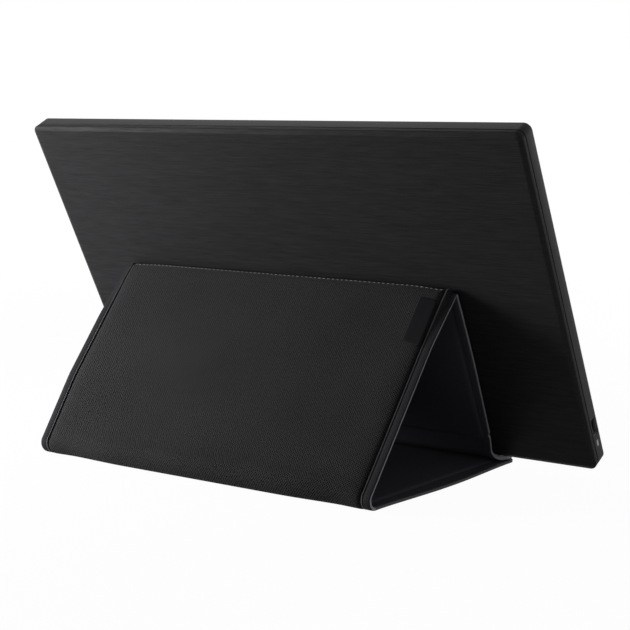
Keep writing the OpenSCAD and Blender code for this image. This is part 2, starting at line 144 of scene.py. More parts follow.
def box_mm(node: str) -> tuple[np.ndarray, np.ndarray]:
    """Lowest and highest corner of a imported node, in millimetres."""
    low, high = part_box(node)
    return np.array(low) / MM, np.array(high) / MM


def make_piece(
    name: str,
    points: np.ndarray,
    faces: Sequence[Sequence[int]],
    materials: Sequence[bpy.types.Material],
    zones: Optional[Sequence[int]] = None,
    uv: Optional[np.ndarray] = None,
    sharp_deg: float = 30,
) -> bpy.types.Object:
    """Makes a mesh object at the origin from points in millimetres.

    Args:
        name: the piece's name.
        points: one row of three numbers for each vertex.
        faces: the vertex numbers of each face, outward side first.
        materials: the piece's finishes.
        zones: the number of each face's finish, or nothing for the first.
        uv: one row of two numbers for each vertex, in metres along the cloth.
        sharp_deg: edges that turn by more than this stay sharp.

    Returns:
        The linked object.
    """
    mesh = bpy.data.meshes.new(name)
    mesh.from_pydata((np.asarray(points, float) * MM).tolist(), [], [list(map(int, f)) for f in faces])
    for material in materials:
        mesh.materials.append(material)
    if zones is not None:
        mesh.polygons.foreach_set("material_index", np.asarray(zones, np.int32))
    if uv is not None:
        layer = mesh.uv_layers.new(name="cloth")
        corners = np.empty(len(mesh.loops), np.int32)
        mesh.loops.foreach_get("vertex_index", corners)
        layer.data.foreach_set("uv", np.asarray(uv, np.float32)[corners].ravel())
    mesh.validate()
    turn_outwards(mesh)
    mesh.shade_smooth()
    mesh.set_sharp_from_angle(angle=math.radians(sharp_deg))
    return linked(name, mesh)


def turn_outwards(mesh: bpy.types.Mesh) -> None:
    """Makes the faces of each closed shell in a mesh point outwards."""
    grid = bmesh.new()
    grid.from_mesh(mesh)
    bmesh.ops.recalc_face_normals(grid, faces=grid.faces)
    grid.to_mesh(mesh)
    grid.free()


def bridge(count: int, first: int, second: int) -> list[tuple[int, int, int, int]]:
    """Quads between two rings of as many points, which start at the given vertex numbers."""
    pairs = [(i, (i + 1) % count) for i in range(count)]
    return [(first + i, first + j, second + j, second + i) for i, j in pairs]


def rounded(x: float, y: float, w: float, h: float, radius: float, steps: int) -> np.ndarray:
    """Ring of a flat rectangle with round corners, in a left turn from its right lower corner.

    Args:
        x: the left side's place.
        y: the lower side's place.
        w: the width.
        h: the height.
        radius: the corners' radius.
        steps: the points on each corner.

    Returns:
        One row of two numbers for each point.
    """
    quarter = np.linspace(0, math.pi / 2, steps)
    right, left, low, high = x + w - radius, x + radius, y + radius, y + h - radius
    centres = ((right, low, -math.pi / 2), (right, high, 0), (left, high, math.pi / 2), (left, low, math.pi))
    points = []
    for cx, cy, start in centres:
        points += [(cx + radius * math.cos(start + a), cy + radius * math.sin(start + a)) for a in quarter]
    return np.array(points)


def between(x: np.ndarray | float, knots: Knots) -> np.ndarray:
    """Value at a place on the line through knots of (place, value)."""
    at, values = zip(*knots)
    return np.interp(x, at, values)


def loft(rings: Sequence[np.ndarray], closed: bool) -> tuple[np.ndarray, list]:
    """Skins a row of rings.

    Args:
        rings: rings of as many points.
        closed: whether the last ring joins the first; if not, both end rings are capped.

    Returns:
        The points and the faces.
    """
    count, total = len(rings[0]), len(rings)
    faces = []
    for i in range(total if closed else total - 1):
        faces += bridge(count, i * count, (i + 1) % total * count)
    if not closed:
        faces.append(tuple(reversed(range(count))))
        faces.append(tuple((total - 1) * count + i for i in range(count)))
    return np.vstack(rings), faces


def evaluated(piece: bpy.types.Object) -> bpy.types.Mesh:
    """Plain mesh of a piece, as its modifiers leave it."""
    bpy.context.view_layer.update()
    graph = bpy.context.evaluated_depsgraph_get()
    return bpy.data.meshes.new_from_object(piece.evaluated_get(graph))


def recolour(node: str, material: bpy.types.Material) -> None:
    """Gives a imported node's own object a finish."""
    mesh = frame["nodes"][node].data
    mesh.materials.clear()
    mesh.materials.append(material)


# Finishes


class Coordinates(Enum):
    """Where a finish reads its pattern from."""

    OBJECT = "Object"
    CLOTH = "UV"


@dataclass(frozen=True)
class Finish:
    """A plain moulded, cast or cut surface with a fine grain."""

    name: str
    colour: str
    roughness: float = 0.5
    metallic: float = 0.0
    specular: float = 0.3
    grain_mm: float = 0.8
    grain_depth: float = 0.05
    tone: float = 0.06
    clouds_per_m: float = 25
    rough_spread: float = 0.06
    relief: float = 0.25
    coordinates: Coordinates = Coordinates.OBJECT

    def material(self) -> bpy.types.Material:
        """Builds the material, or returns it if it is there already."""
        found = bpy.data.materials.get(self.name)
        if found is not None:
            return found
        made = bpy.data.materials.new(self.name)
        tree = fresh_tree(made)
        place = add_node(tree, "ShaderNodeTexCoord").outputs[self.coordinates.value]
        shader = add_node(tree, "ShaderNodeBsdfPrincipled")
        add_node(tree, "ShaderNodeOutputMaterial", {"Surface": shader.outputs["BSDF"]})
        shader.inputs["Metallic"].default_value = self.metallic
        if self.metallic < 0.5:
            shader.inputs["Specular IOR Level"].default_value = self.specular
        self.pattern(tree, place, shader)
        return made

    def vary(
        self,
        tree: bpy.types.NodeTree,
        shader: bpy.types.Node,
        tone: bpy.types.NodeSocket,
        height: bpy.types.NodeSocket,
        gloss: Optional[bpy.types.NodeSocket] = None,
    ) -> None:
        """Lets a pattern vary the colour, the roughness and the relief of the surface.

        Args:
            tree: the material's node tree.
            shader: the surface shader.
            tone: runs from the darker colour at 0 to the lighter one at 1.
            height: the relief, to the depth of the grain.
            gloss: runs over the roughness's spread as it goes from 0 to 1; without it the roughness is even.
        """
        shade = linear(self.colour)[:3]
        dark, light = ((*(c * (1 + side * self.tone) for c in shade), 1.0) for side in (-1, 1))
        mix = add_node(tree, "ShaderNodeMix", {0: tone, 6: dark, 7: light}, data_type="RGBA")
        tree.links.new(mix.outputs[2], shader.inputs["Base Color"])
        if gloss is None:
            shader.inputs["Roughness"].default_value = self.roughness
        else:
            low, high = self.roughness - self.rough_spread, self.roughness + self.rough_spread
            rough = add_node(tree, "ShaderNodeMapRange", {"Value": gloss, 3: low, 4: high})
            tree.links.new(rough.outputs[0], shader.inputs["Roughness"])
        given = {"Height": height, "Strength": self.relief, "Distance": self.grain_depth * MM}
        bump = add_node(tree, "ShaderNodeBump", given)
        tree.links.new(bump.outputs["Normal"], shader.inputs["Normal"])

    def pattern(self, tree: bpy.types.NodeTree, place: bpy.types.NodeSocket, shader: bpy.types.Node) -> None:
        """Adds the fine grain of the surface to its colour, roughness and bump."""
        fine = {"Vector": place, "Scale": 1000 / self.grain_mm, "Detail": 3.0}
        grain = add_node(tree, "ShaderNodeTexNoise", fine).outputs["Fac"]
        cloudy = {"Vector": place, "Scale": self.clouds_per_m, "Detail": 2.0}
        broad = add_node(tree, "ShaderNodeTexNoise", cloudy).outputs["Fac"]
        self.vary(tree, shader, tone=broad, height=grain, gloss=grain)


@dataclass(frozen=True)
class HairlinePlastic(Finish):
    """Moulded ABS with lines along X that look brushed: short fine streaks within longer ones."""

    line_mm: float = 0.5
    line_length_mm: float = 15
    band_mm: float = 2.0
    band_length_mm: float = 37.5
    band_share: float = 0.6
    contrast: Spot = (0.75, 1.25)
    rough_spread: float = -0.07
    relief: float = 0.35

    def pattern(self, tree: bpy.types.NodeTree, place: bpy.types.NodeSocket, shader: bpy.types.Node) -> None:
        """Adds lines that vary fast across the panel and slowly along it."""
        streaks = []
        for pitch, length in ((self.line_mm, self.line_length_mm), (self.band_mm, self.band_length_mm)):
            size = (1000 / length, 1000 / pitch, 1000 / pitch)
            along = add_node(tree, "ShaderNodeMapping", {"Vector": place, "Scale": size}).outputs[0]
            noise = add_node(tree, "ShaderNodeTexNoise", {"Vector": along, "Scale": 1.0, "Detail": 2.5})
            streaks.append(noise.outputs["Fac"])
        band = add_node(tree, "ShaderNodeMath", {0: streaks[1], 1: self.band_share}, operation="MULTIPLY")
        shares = {0: streaks[0], 1: 2 - self.band_share, 2: band.outputs[0]}
        both = add_node(tree, "ShaderNodeMath", shares, operation="MULTIPLY_ADD").outputs[0]
        low, high = self.contrast
        whole = {"Value": both, 1: low, 2: high, 3: 0.0, 4: 1.0}
        level = add_node(tree, "ShaderNodeMapRange", whole).outputs[0]
        self.vary(tree, shader, tone=level, height=level, gloss=level)


@dataclass(frozen=True)
class WovenCloth(Finish):
    """Plain-woven polyester canvas: matt, with a fine grid of threads that catches light at a slant."""

    thread_mm: float = 0.85
    weave_share: float = 0.34
    broad_share: float = 0.15
    contrast: Spot = (0.38, 0.7)
    sheen: float = 0.02
    sheen_roughness: float = 0.45
    clouds_per_m: float = 22
    relief: float = 0.6
    coordinates: Coordinates = Coordinates.CLOTH

    def pattern(self, tree: bpy.types.NodeTree, place: bpy.types.NodeSocket, shader: bpy.types.Node) -> None:
        """Adds warp and weft, which pass over each other in turn, and uneven yarn."""
        shader.inputs["Sheen Weight"].default_value = self.sheen
        shader.inputs["Sheen Roughness"].default_value = self.sheen_roughness
        axes = add_node(tree, "ShaderNodeSeparateXYZ", {"Vector": place}).outputs
        waves = []
        for axis in ("X", "Y"):
            threads = {0: axes[axis], 1: math.pi / (self.thread_mm * MM)}
            turn = add_node(tree, "ShaderNodeMath", threads, operation="MULTIPLY").outputs[0]
            waves.append(add_node(tree, "ShaderNodeMath", {0: turn}, operation="SINE").outputs[0])
        weave = add_node(tree, "ShaderNodeMath", dict(enumerate(waves)), operation="MULTIPLY").outputs[0]
        fine = {"Vector": place, "Scale": 1000 / self.thread_mm, "Detail": 1.0}
        yarn = add_node(tree, "ShaderNodeTexNoise", fine).outputs["Fac"]
        cloudy = {"Vector": place, "Scale": self.clouds_per_m, "Detail": 3.0}
        broad = add_node(tree, "ShaderNodeTexNoise", cloudy).outputs["Fac"]
        raised = {0: weave, 1: self.weave_share, 2: yarn}
        height = add_node(tree, "ShaderNodeMath", raised, operation="MULTIPLY_ADD").outputs[0]
        shaded = {0: broad, 1: self.broad_share, 2: height}
        level = add_node(tree, "ShaderNodeMath", shaded, operation="MULTIPLY_ADD").outputs[0]
        low, high = self.contrast
        whole = {"Value": level, 1: low, 2: high, 3: 0.0, 4: 1.0}
        tone = add_node(tree, "ShaderNodeMapRange", whole).outputs[0]
        self.vary(tree, shader, tone=tone, height=height)


# Moulded ABS, hairline pattern in the mould: dark grey with horizontal streaks
BACK_PANEL = HairlinePlastic("abs_hairline", "#202021", 0.5, specular=0.03, grain_depth=0.02, tone=0.24)
# Moulded ABS, spark-eroded mould: an even satin grain
CASE_SATIN = Finish("abs_satin", "#202022", 0.5, specular=0.08, grain_mm=0.9, grain_depth=0.04)
# Woven polyester; real threads are about 0.4 mm, and are drawn twice as coarse to show
COVER_CLOTH = WovenCloth("polyester_canvas", "#212121", 0.85, specular=0.03, grain_depth=0.3, tone=0.95)
# Heat-cut edge of the laminate: its fibres melt to a shinier rim, and its pale colour is a painted highlight
# along the rim
CUT_EDGE_HIGHLIGHT = Finish("cut_edge_painted_highlight", "#6a6a6d", 0.55, specular=0.3, grain_mm=0.6, grain_depth=0.1)
# The same canvas where its hem is pressed and bonded: darker, flatter and a little shiny
HEM_CLOTH = WovenCloth(
    "pressed_canvas", "#222224", 0.7, specular=0.03, grain_depth=0.12, tone=0.4, sheen=0.0
)
# Bonded bead along the inner side of the hem; its pale colour is a painted highlight on its crest, and the
# floor panel's cut edges take it too
HEM_BEAD_HIGHLIGHT = Finish("hem_bead_painted_highlight", "#4c4c4e", 0.65, specular=0.06, grain_mm=0.8, grain_depth=0.1, tone=0.2)
# Brushed tricot lining, very even; its colour is painted paler than its own near-black, as painted fill
# light for the shaded inside of the folded cover
LINING = Finish(
    "tricot_lining_painted_fill",
    "#38383d",
    0.8,
    specular=0.05,
    grain_mm=0.9,
    grain_depth=0.1,
    coordinates=Coordinates.CLOTH,
)
# Coated fabric of the label: smooth with a slight pebble
LABEL = Finish("coated_label", "#111113", 0.6, specular=0.04, grain_mm=1.2, grain_depth=0.08)
# Polyester thread, spun: pale grey with a soft shine
THREAD = Finish("polyester_thread", "#8c8c8e", 0.6, specular=0.2, grain_mm=0.5, grain_depth=0.05, tone=0.15)
# Cover glass over a switched-off display: black and glossy
GLASS = Finish(
    "display_glass",
    "#0a0a0c",
    0.18,
    specular=0.35,
    grain_mm=6,
    grain_depth=0.0,
    tone=0.02,
    rough_spread=0.01,
)
# Diffuser film: milky
FILM = Finish("diffuser_film", "#e6e8ea", 0.5, specular=0.4, grain_mm=1, grain_depth=0.01, tone=0.02)
# Cast acrylic of the light guide: clear at the edge, milky in depth
ACRYLIC = Finish("cast_acrylic", "#cfd8dc", 0.15, specular=0.5, grain_mm=3, grain_depth=0.002, tone=0.03)
# White solder mask of the lamp strip
LAMP_BOARD = Finish("white_lamp_board", "#dcdccb", 0.4, specular=0.4, grain_mm=1.5, grain_depth=0.02)
# Zinc-plated sheet steel
STEEL = Finish("plated_steel", "#a9abae", 0.32, metallic=1.0, grain_mm=1.2, grain_depth=0.01)
# Green solder mask over glass-epoxy laminate
CIRCUIT = Finish("solder_mask", "#12402a", 0.35, specular=0.5, grain_mm=1.5, grain_depth=0.03, tone=0.15)
# Moulded epoxy of a chip
EPOXY = Finish("chip_epoxy", "#131315", 0.55, specular=0.35, grain_mm=0.6, grain_depth=0.02)
# Polyimide film over copper
RIBBON = Finish("polyimide_ribbon", "#a86a2c", 0.3, specular=0.5, grain_mm=2, grain_depth=0.01, tone=0.1)
# Frosted polycarbonate window
WINDOW = Finish("frosted_window", "#8e9196", 0.4, specular=0.3, grain_mm=0.8, grain_depth=0.01)
# Moulded ABS key cap, a shade paler than the frame
KEY_CAP = Finish("abs_key", "#323234", 0.42, specular=0.3, grain_mm=0.7, grain_depth=0.03)
# Pressed fibreboard stiffener
FIBREBOARD = Finish("fibreboard", "#6b6255", 0.8, specular=0.2, grain_mm=1.5, grain_depth=0.1, tone=0.15)
# Sintered magnet with nickel plating
MAGNET = Finish("nickel_plated_magnet", "#b3b2ae", 0.25, metallic=1.0, grain_mm=2, grain_depth=0.003)


# The monitor


@dataclass
class MonitorCase:
    """The monitor's case and keys, built in its own frame and then placed, and its inner pieces' looks."""

    height: float = 236.4
    side_depth: float = 12.1
    cover_side: float = 3.2
    seam: float = 0.3
    seam_soft: float = 0.2
    seam_round: float = 0.35
    bevel_depth: float = 1.4
    bevel_width: float = 2.8
    corner: float = 4.8
    wall: float = 1.6
    lip: float = 1.0
    lip_depth: float = 2.4
    lip_gap: float = 0.15
    face: float = 1.4
    picture: Spot = (344.2, 193.5)
    bezel_low: float = 25.9
    rest_gap: float = 0.1
    edge_round: float = 0.45
    front_round: float = 0.5
    corner_steps: int = 12
    board_zone: Spot = (9.0, 73.0)
    socket_middle: float = 28.0
    socket_height: float = 12.0
    socket_back: float = -5.1
    socket_width: float = 5.2
    light_middle: float = 15.6
    light_size: Spot = (4.4, 2.0)
    key_middle: float = 10.5
    key_size: Spot = (11.0, 4.6)
    key_side: float = 24.0
    key_pitch: float = 24.0
    key_proud: float = 0.9
    key_gap: float = 0.2
    led_radius: float = 1.0
    cut_gap: float = 0.05
    reveal: float = 0.4
    key_rim: Spot = (1.4, 0.8)
    key_dome: Knots = ((1.6, 0.0), (0.7, 0.05), (0.25, 0.2), (0.06, 0.45), (0, 0.8))
    hair: float = 0.001
    sharp_deg: float = 40
    width: float = field(init=False)
    place: Matrix = field(init=False)

    def __post_init__(self) -> None:
        """Reads the case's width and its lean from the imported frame."""
        low, high = box_mm("rear_cover")
        self.width = float(high[0] - low[0])
        press = next(j for j in frame["joints"] if j["name"] == "power_press")
        tilt = math.atan2(-press["axis"][2], press["axis"][1])
        rest = float(box_mm("tray_fabric")[1][2]) + self.rest_gap
        self.place = Matrix.Translation((0, 0, rest)) @ Matrix.Rotation(-tilt, 4, "X")

    def placed(self, points: np.ndarray) -> np.ndarray:
        """Moves points from the monitor's own frame to the shared one."""
        turn = np.array(self.place)
        return np.asarray(points, float) @ turn[:3, :3].T + turn[:3, 3]

    def outline(self, inset: float, depth: float) -> np.ndarray:
        """Ring of the case outline with round corners.

        Args:
            inset: distance inside the case's side.
            depth: the ring's own Y.

        Returns:
            The ring's points, seen from the screen in a left turn.
        """
        radius = max(self.corner - inset, 0.5)
        half = self.width / 2 - inset
        return self.ring(-half, inset, 2 * half, self.height - 2 * inset, radius, depth)

    def ring(self, x: float, v: float, w: float, h: float, radius: float, depth: float) -> np.ndarray:
        """Ring of a rectangle whose left lower corner is at x and v, in the plane of one depth."""
        flat = rounded(x, v, w, h, radius, self.corner_steps)
        return np.column_stack([flat[:, 0], np.full(len(flat), depth), flat[:, 1]])

    def round_edge(self, before: Spot, corner: Spot, after: Spot, radius: float) -> list[Spot]:
        """Rounds one corner of a profile of insets and depths with four short steps."""
        p, c, n = (np.array(q, float) for q in (before, corner, after))
        start = c + (p - c) / np.linalg.norm(p - c) * radius
        end = c + (n - c) / np.linalg.norm(n - c) * radius
        curve = [(1 - t) ** 2 * start + 2 * t * (1 - t) * c + t * t * end for t in np.linspace(0, 1, 5)]
        return [(float(inset), float(depth)) for inset, depth in curve]

    def profile(self, corners: Sequence[tuple[float, float, float]]) -> list[Spot]:
        """Turns corners of (inset, depth, rounding) into a smooth profile, which is open at both ends."""
        out: list[Spot] = []
        for i, (inset, depth, radius) in enumerate(corners):
            if radius > 0:
                out += self.round_edge(corners[i - 1][:2], (inset, depth), corners[i + 1][:2], radius)
            else:
                out.append((inset, depth))
        return out

    def rear_cover(self) -> None:
        """Bevelled back panel with its side strip, and the lip that locates it in the frame."""
        soft = self.edge_round
        inner = self.bevel_depth - self.wall
        corners = [
            (self.wall + self.bevel_width + 4, inner, 0),
            (self.wall + self.bevel_width, inner, 0.3),
            (self.wall, inner - self.bevel_depth + 0.4, 0.2),
            (self.wall, self.seam_soft - self.cover_side, 0.1),
            (0, self.seam_soft - self.cover_side, self.seam_round),
            (0, 0, soft),
            (self.bevel_width, self.bevel_depth, 0.7 * soft),
            (self.bevel_width + 5, self.bevel_depth, 0),
        ]
        rings = [self.outline(i, d) for i, d in self.profile(corners)]
        points, faces = loft(rings, closed=False)
        lip_points, lip_faces = self.lip_strip()
        faces += [tuple(v + len(points) for v in f) for f in lip_faces]
        points = self.placed(np.vstack([points, lip_points]))
        piece = make_piece("rear_panel", points, faces, [BACK_PANEL.material()], sharp_deg=self.sharp_deg)
        self.kept(piece, "monitor", "case", "rear_cover")

    def lip_strip(self) -> tuple[np.ndarray, list]:
        """Lip inside the wall, all round but for the stretch beside the main board."""
        start = self.wall + self.lip_gap
        root = self.bevel_depth - self.wall + 0.2
        tip = -self.cover_side - self.seam - self.lip_depth
        rows = []
        for inset, depth in ((start, root), (start, tip), (start + self.lip, tip), (start + self.lip, root)):
            ring = self.outline(inset, depth)
            first, last = (np.array([[ring[-1][0], depth, v]]) for v in self.board_zone)
            # the ring's last quarter is the corner below the board, so the strip starts there
            quarter = 3 * len(ring) // 4
            rows.append(np.vstack([first, ring[quarter:], ring[:quarter], last]))
        count = len(rows[0])
        faces = []
        for a in range(4):
            here, there = a * count, (a + 1) % 4 * count
            faces += [(there + i, there + i + 1, here + i + 1, here + i) for i in range(count - 1)]
        faces.append(tuple(a * count for a in range(4)))
        faces.append(tuple(a * count + count - 1 for a in reversed(range(4))))
        return np.vstack(rows), faces

    def front_frame(self) -> None:
        """Side and bezel with the picture's window, the socket's and light's openings and the key holes."""
        seam = -self.cover_side - self.seam - self.seam_soft
        front, inner = -self.side_depth, self.face - self.side_depth
        w, h = self.picture
        outside = [(self.wall, seam, 0.1), (0, seam, self.seam_round), (0, front, self.front_round)]
        corners = [(self.wall, inner, 0), *outside, (9, front, 0)]
        rings = [self.outline(i, d) for i, d in self.profile(corners)]
        window = ((self.reveal, front), (0.12, front + 0.12), (0, front + self.reveal), (0, inner))
        for grow, depth in window:
            left, low = -w / 2 - grow, self.bezel_low - grow
            rings.append(self.ring(left, low, w + 2 * grow, h + 2 * grow, 0.5, depth))
        points, faces = loft(rings[::-1], closed=True)
        finish = CASE_SATIN.material()
        piece = make_piece("front_bezel", self.placed(points), faces, [finish], sharp_deg=self.sharp_deg)
        self.cut_openings(piece)
        self.kept(piece, "monitor", "case", "front_frame")

    def cut_openings(self, piece: bpy.types.Object) -> None:
        """Cuts the holes of the socket, the indicator light, the two keys and the power light."""
        light_high, light_wide = self.light_size
        cutters = [
            self.side_plug(self.socket_middle, self.socket_width, self.socket_height, 0.6),
            self.side_plug(self.light_middle, light_wide, light_high, 0.9),
        ]
        wide, high = (size + 2 * self.key_gap for size in self.key_size)
        cutters += [self.front_plug(x, wide, high) for x in self.key_places()]
        size = 2 * (self.led_radius + self.cut_gap)
        cutters.append(self.front_plug(self.led_place(), size, size))
        for cutter in cutters:
            cut = piece.modifiers.new("cut", "BOOLEAN")
            cut.operation = "DIFFERENCE"
            cut.solver = "EXACT"
            cut.object = cutter
        mesh = evaluated(piece)
        piece.modifiers.clear()
        piece.data = mesh
        piece.data.set_sharp_from_angle(angle=math.radians(self.sharp_deg))
        for cutter in cutters:
            bpy.data.objects.remove(cutter)

    def key_places(self) -> tuple[float, float]:
        """Places of the power key and the brightness key along the lower bezel."""
        power = self.width / 2 - self.key_side
        return power, power - self.key_pitch

    def led_place(self) -> float:
        """Place of the power light, midway between the keys."""
        return self.width / 2 - self.key_side - self.key_pitch / 2

    def side_plug(self, height: float, wide: float, high: float, radius: float) -> bpy.types.Object:
        """Rounded bar through the case side, a little larger than the piece that it lets through."""
        wide, high = wide + 2 * self.lip_gap, high + 2 * self.lip_gap
        depth = self.socket_back - self.socket_width / 2
        flat = self.ring(depth - wide / 2, height - high / 2, wide, high, radius, 0)
        ends = (-self.width / 2 - self.wall - 1, -self.width / 2 + self.wall + 1)
        rings = [np.column_stack([np.full(len(flat), x), flat[:, 0], flat[:, 2]]) for x in ends]
        points, faces = loft(rings, closed=False)
        return make_piece("side_cutter", self.placed(points), faces, [])

    def front_plug(self, x: float, wide: float, high: float) -> bpy.types.Object:
        """Bar with round ends through the bezel."""
        left, low, radius = x - wide / 2, self.key_middle - high / 2, high / 2 - self.hair
        depths = (-self.side_depth - 1, self.face - self.side_depth + 1)
        rings = [self.ring(left, low, wide, high, radius, depth) for depth in depths]
        points, faces = loft(rings, closed=False)
        return make_piece("front_cutter", self.placed(points), faces, [])

    def keys(self) -> None:
        """The two key caps, each with a domed top and the flange that keeps it in."""
        front, inner = -self.side_depth, self.face - self.side_depth
        wide, high = self.key_size
        rim, rim_depth = self.key_rim
        profile = [(-inset, front - self.key_proud + drop) for inset, drop in self.key_dome]
        profile += [(0, inner), (rim, inner + 0.02), (rim, inner + rim_depth)]
        for x, key in zip(self.key_places(), ("power", "brightness")):
            rings = []
            for grow, depth in profile:
                left, low, radius = x - wide / 2 - grow, self.key_middle - high / 2 - grow, high / 2 + grow
                flat = self.ring(left, low, wide + 2 * grow, high + 2 * grow, radius - self.hair, depth)
                rings.append(flat)
            points, faces = loft(rings, closed=False)
            finish = KEY_CAP.material()
            piece = make_piece(f"{key}_key_cap", self.placed(points), faces, [finish], sharp_deg=50)
            self.kept(piece, f"{key}_key", "key", f"{key}_button")

    def kept(self, piece: bpy.types.Object, body: str, slot: str, node: str) -> None:
        """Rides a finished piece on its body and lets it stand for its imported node."""
        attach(piece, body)
        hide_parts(node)
        LOG.info("%s rides on %s", piece.name, body)

    def dress_inside(self) -> None:
        """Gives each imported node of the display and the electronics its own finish."""
        finishes = {
            "display_cell": GLASS,
            "optical_sheets": FILM,
            "light_guide": ACRYLIC,
            "reflector_sheet": FILM,
            "lamp_strip": LAMP_BOARD,
            "display_pan": STEEL,
            "driver_board": CIRCUIT,
            "main_board": CIRCUIT,
            "board_chips": EPOXY,
            "board_screws": STEEL,
            "display_ribbon": RIBBON,
            "button_ribbon": RIBBON,
            "button_board": CIRCUIT,
            "button_switches": EPOXY,
            "socket_shell": STEEL,
            "socket_tongue": EPOXY,
            "indicator_light": WINDOW,
            "power_led": WINDOW,
        }
        for node, finish in finishes.items():
            recolour(node, finish.material())

    def build(self) -> None:
        """Builds the case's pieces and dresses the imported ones."""
        self.rear_cover()
        self.front_frame()
        self.keys()
        self.dress_inside()


# The cover


class Zone(Enum):
    """Stretches of the cover's section, in order along the outer face."""

    FLOOR = 0
    REAR = 1
    SLOPE = 2
    RIDGE = 3
    LEAN = 4
    FOOT = 5
    TRAY = 6


FOLDS = (Zone.REAR, Zone.RIDGE, Zone.FOOT)


@dataclass
class CoverSection:
    """Section of the folded cover across its width: flat panels joined by round folds."""

    slope_angle: float = 51.6
    lean_angle: float = 63.7
    rear_radius: float = 7.9
    ridge_radius: float = 8.5
    foot_radius: float = 8.0
    panel: float = 3.2
    foot_gap: float = 5.0
    floor_front: float = 15.5
    tray_back: float = 1.0
    lean_length: float = 116.1
    lengths: dict = field(init=False)
    starts: dict = field(init=False)
    ends: dict = field(init=False)

    def __post_init__(self) -> None:
        """Works out the corners of the section from the foot upward."""
        turn = math.radians(180 - self.slope_angle)
        lean = math.radians(180 + self.lean_angle)
        self.slope_dir = np.array([math.cos(turn), math.sin(turn)])
        self.slope_out = np.array([math.sin(turn), -math.cos(turn)])
        self.lean_dir = np.array([math.cos(lean), math.sin(lean)])
        self.lean_out = np.array([math.sin(lean), -math.cos(lean)])
        reach = self.foot_radius * math.tan(math.radians(self.lean_angle) / 2)
        top = 2 * self.panel
        self.tray_rear = np.array([self.foot_gap - reach, top])
        self.foot_centre = self.tray_rear + [0, self.foot_radius]
        self.lean_foot = np.array([self.foot_gap, top]) - reach * self.lean_dir
        self.lean_top = self.lean_foot - self.lean_length * self.lean_dir
        self.ridge_centre = self.lean_top - self.ridge_radius * self.lean_out
        self.slope_top = self.ridge_centre + self.ridge_radius * self.slope_out
        foot_z = self.rear_radius * (1 + self.slope_out[1])
        slope_length = (self.slope_top[1] - foot_z) / self.slope_dir[1]
        self.slope_foot = self.slope_top - slope_length * self.slope_dir
        rear_y = self.slope_foot[0] - self.rear_radius * self.slope_out[0]
        self.rear_centre = np.array([rear_y, self.rear_radius])
        self.rear_turn, self.foot_turn = turn, math.radians(self.lean_angle)
        self.ridge_turn = math.radians(self.slope_angle + self.lean_angle)
        self.lengths = {
            Zone.FLOOR: self.floor_front + float(self.rear_centre[0]),
            Zone.REAR: self.rear_radius * self.rear_turn,
            Zone.SLOPE: slope_length,
            Zone.RIDGE: self.ridge_radius * self.ridge_turn,
            Zone.LEAN: self.lean_length,
            Zone.FOOT: self.foot_radius * self.foot_turn,
            Zone.TRAY: float(self.tray_rear[0]) + self.floor_front - self.tray_back,
        }
        self.starts = {}
        at = 0.0
        for zone in Zone:
            self.starts[zone] = at
            at += self.lengths[zone]
        self.ends = {zone: self.starts[zone] + self.lengths[zone] for zone in Zone}
        self.total = at

    def zone_at(self, s: float) -> Zone:
        """The stretch that holds a length along the outer face."""
        found = Zone.FLOOR
        for zone in Zone:
            if s >= self.starts[zone] - 1e-9:
                found = zone
        return found

    def point(self, s: float, depth: np.ndarray, ridge: np.ndarray, rear: np.ndarray) -> np.ndarray:
        """Points of the section below one place on its outer face.

        Args:
            s: length along the nominal outer face.
            depth: how far inside that face each point lies.
            ridge: the outer radius of the ridge fold at each point, which sets how sharp it is.
            rear: the same for the rear fold.

        Returns:
            One row of Y and Z for each depth.
        """
        zone = self.zone_at(s)
        t = (s - self.starts[zone]) / self.lengths[zone]
        depth, ridge, rear = (np.asarray(v, float)[:, None] for v in (depth, ridge, rear))
        down, crest = -math.pi / 2, math.pi / 2 - math.radians(self.slope_angle)
        if zone is Zone.TRAY:
            return self.tray_rear - [t * self.lengths[zone], 0] - depth * np.array([0.0, 1.0])
        if zone is Zone.FOOT:
            return self.arc(self.foot_centre, self.foot_radius + depth, down + (1 - t) * self.foot_turn)
        rear_less, ridge_less = self.rear_radius - rear, self.ridge_radius - ridge
        rear_centre = self.moved_centre(self.rear_centre, rear_less, down, self.rear_turn)
        ridge_centre = self.moved_centre(self.ridge_centre, ridge_less, crest, self.ridge_turn)
        if zone is Zone.REAR:
            return self.arc(rear_centre, rear - depth, down + t * self.rear_turn)
        if zone is Zone.RIDGE:
            return self.arc(ridge_centre, ridge - depth, crest + t * self.ridge_turn)
        low, slope, lean = np.array([0.0, -1.0]), self.slope_out, self.lean_out
        ends = {
            Zone.FLOOR: (np.array([[-self.floor_front, 0.0]]), rear_centre + rear * low, low),
            Zone.SLOPE: (rear_centre + rear * slope, ridge_centre + ridge * slope, slope),
            Zone.LEAN: (ridge_centre + ridge * lean, self.lean_foot[None, :], lean),
        }
        start, end, out = ends[zone]
        return start + t * (end - start) - depth * out

    def arc(self, centre: np.ndarray, radius: np.ndarray, angle: float) -> np.ndarray:
        """Points at one angle round a centre, each at its own radius."""
        return centre + radius * np.array([math.cos(angle), math.sin(angle)])

    def moved_centre(self, centre: np.ndarray, less: np.ndarray, start: float, turn: float) -> np.ndarray:
        """Centre of a fold whose radius is less, so that it still touches both of its panels' planes."""
        middle = start + turn / 2
        return centre + less / math.cos(turn / 2) * np.array([math.cos(middle), math.sin(middle)])


class Surface(IntEnum):
    """Finishes of a cloth layer, by their place among its materials."""

    CLOTH = 0
    # the cut edge, with its pale painted highlight
    CUT = 1
    HEM = 2
    # the bead, with its pale painted highlight, also used on the floor panel's cut edges
    BEAD = 3


class Skin(Enum):
    """The two cloth layers of a cover panel."""

    FABRIC = "fabric"
    LINING = "lining"


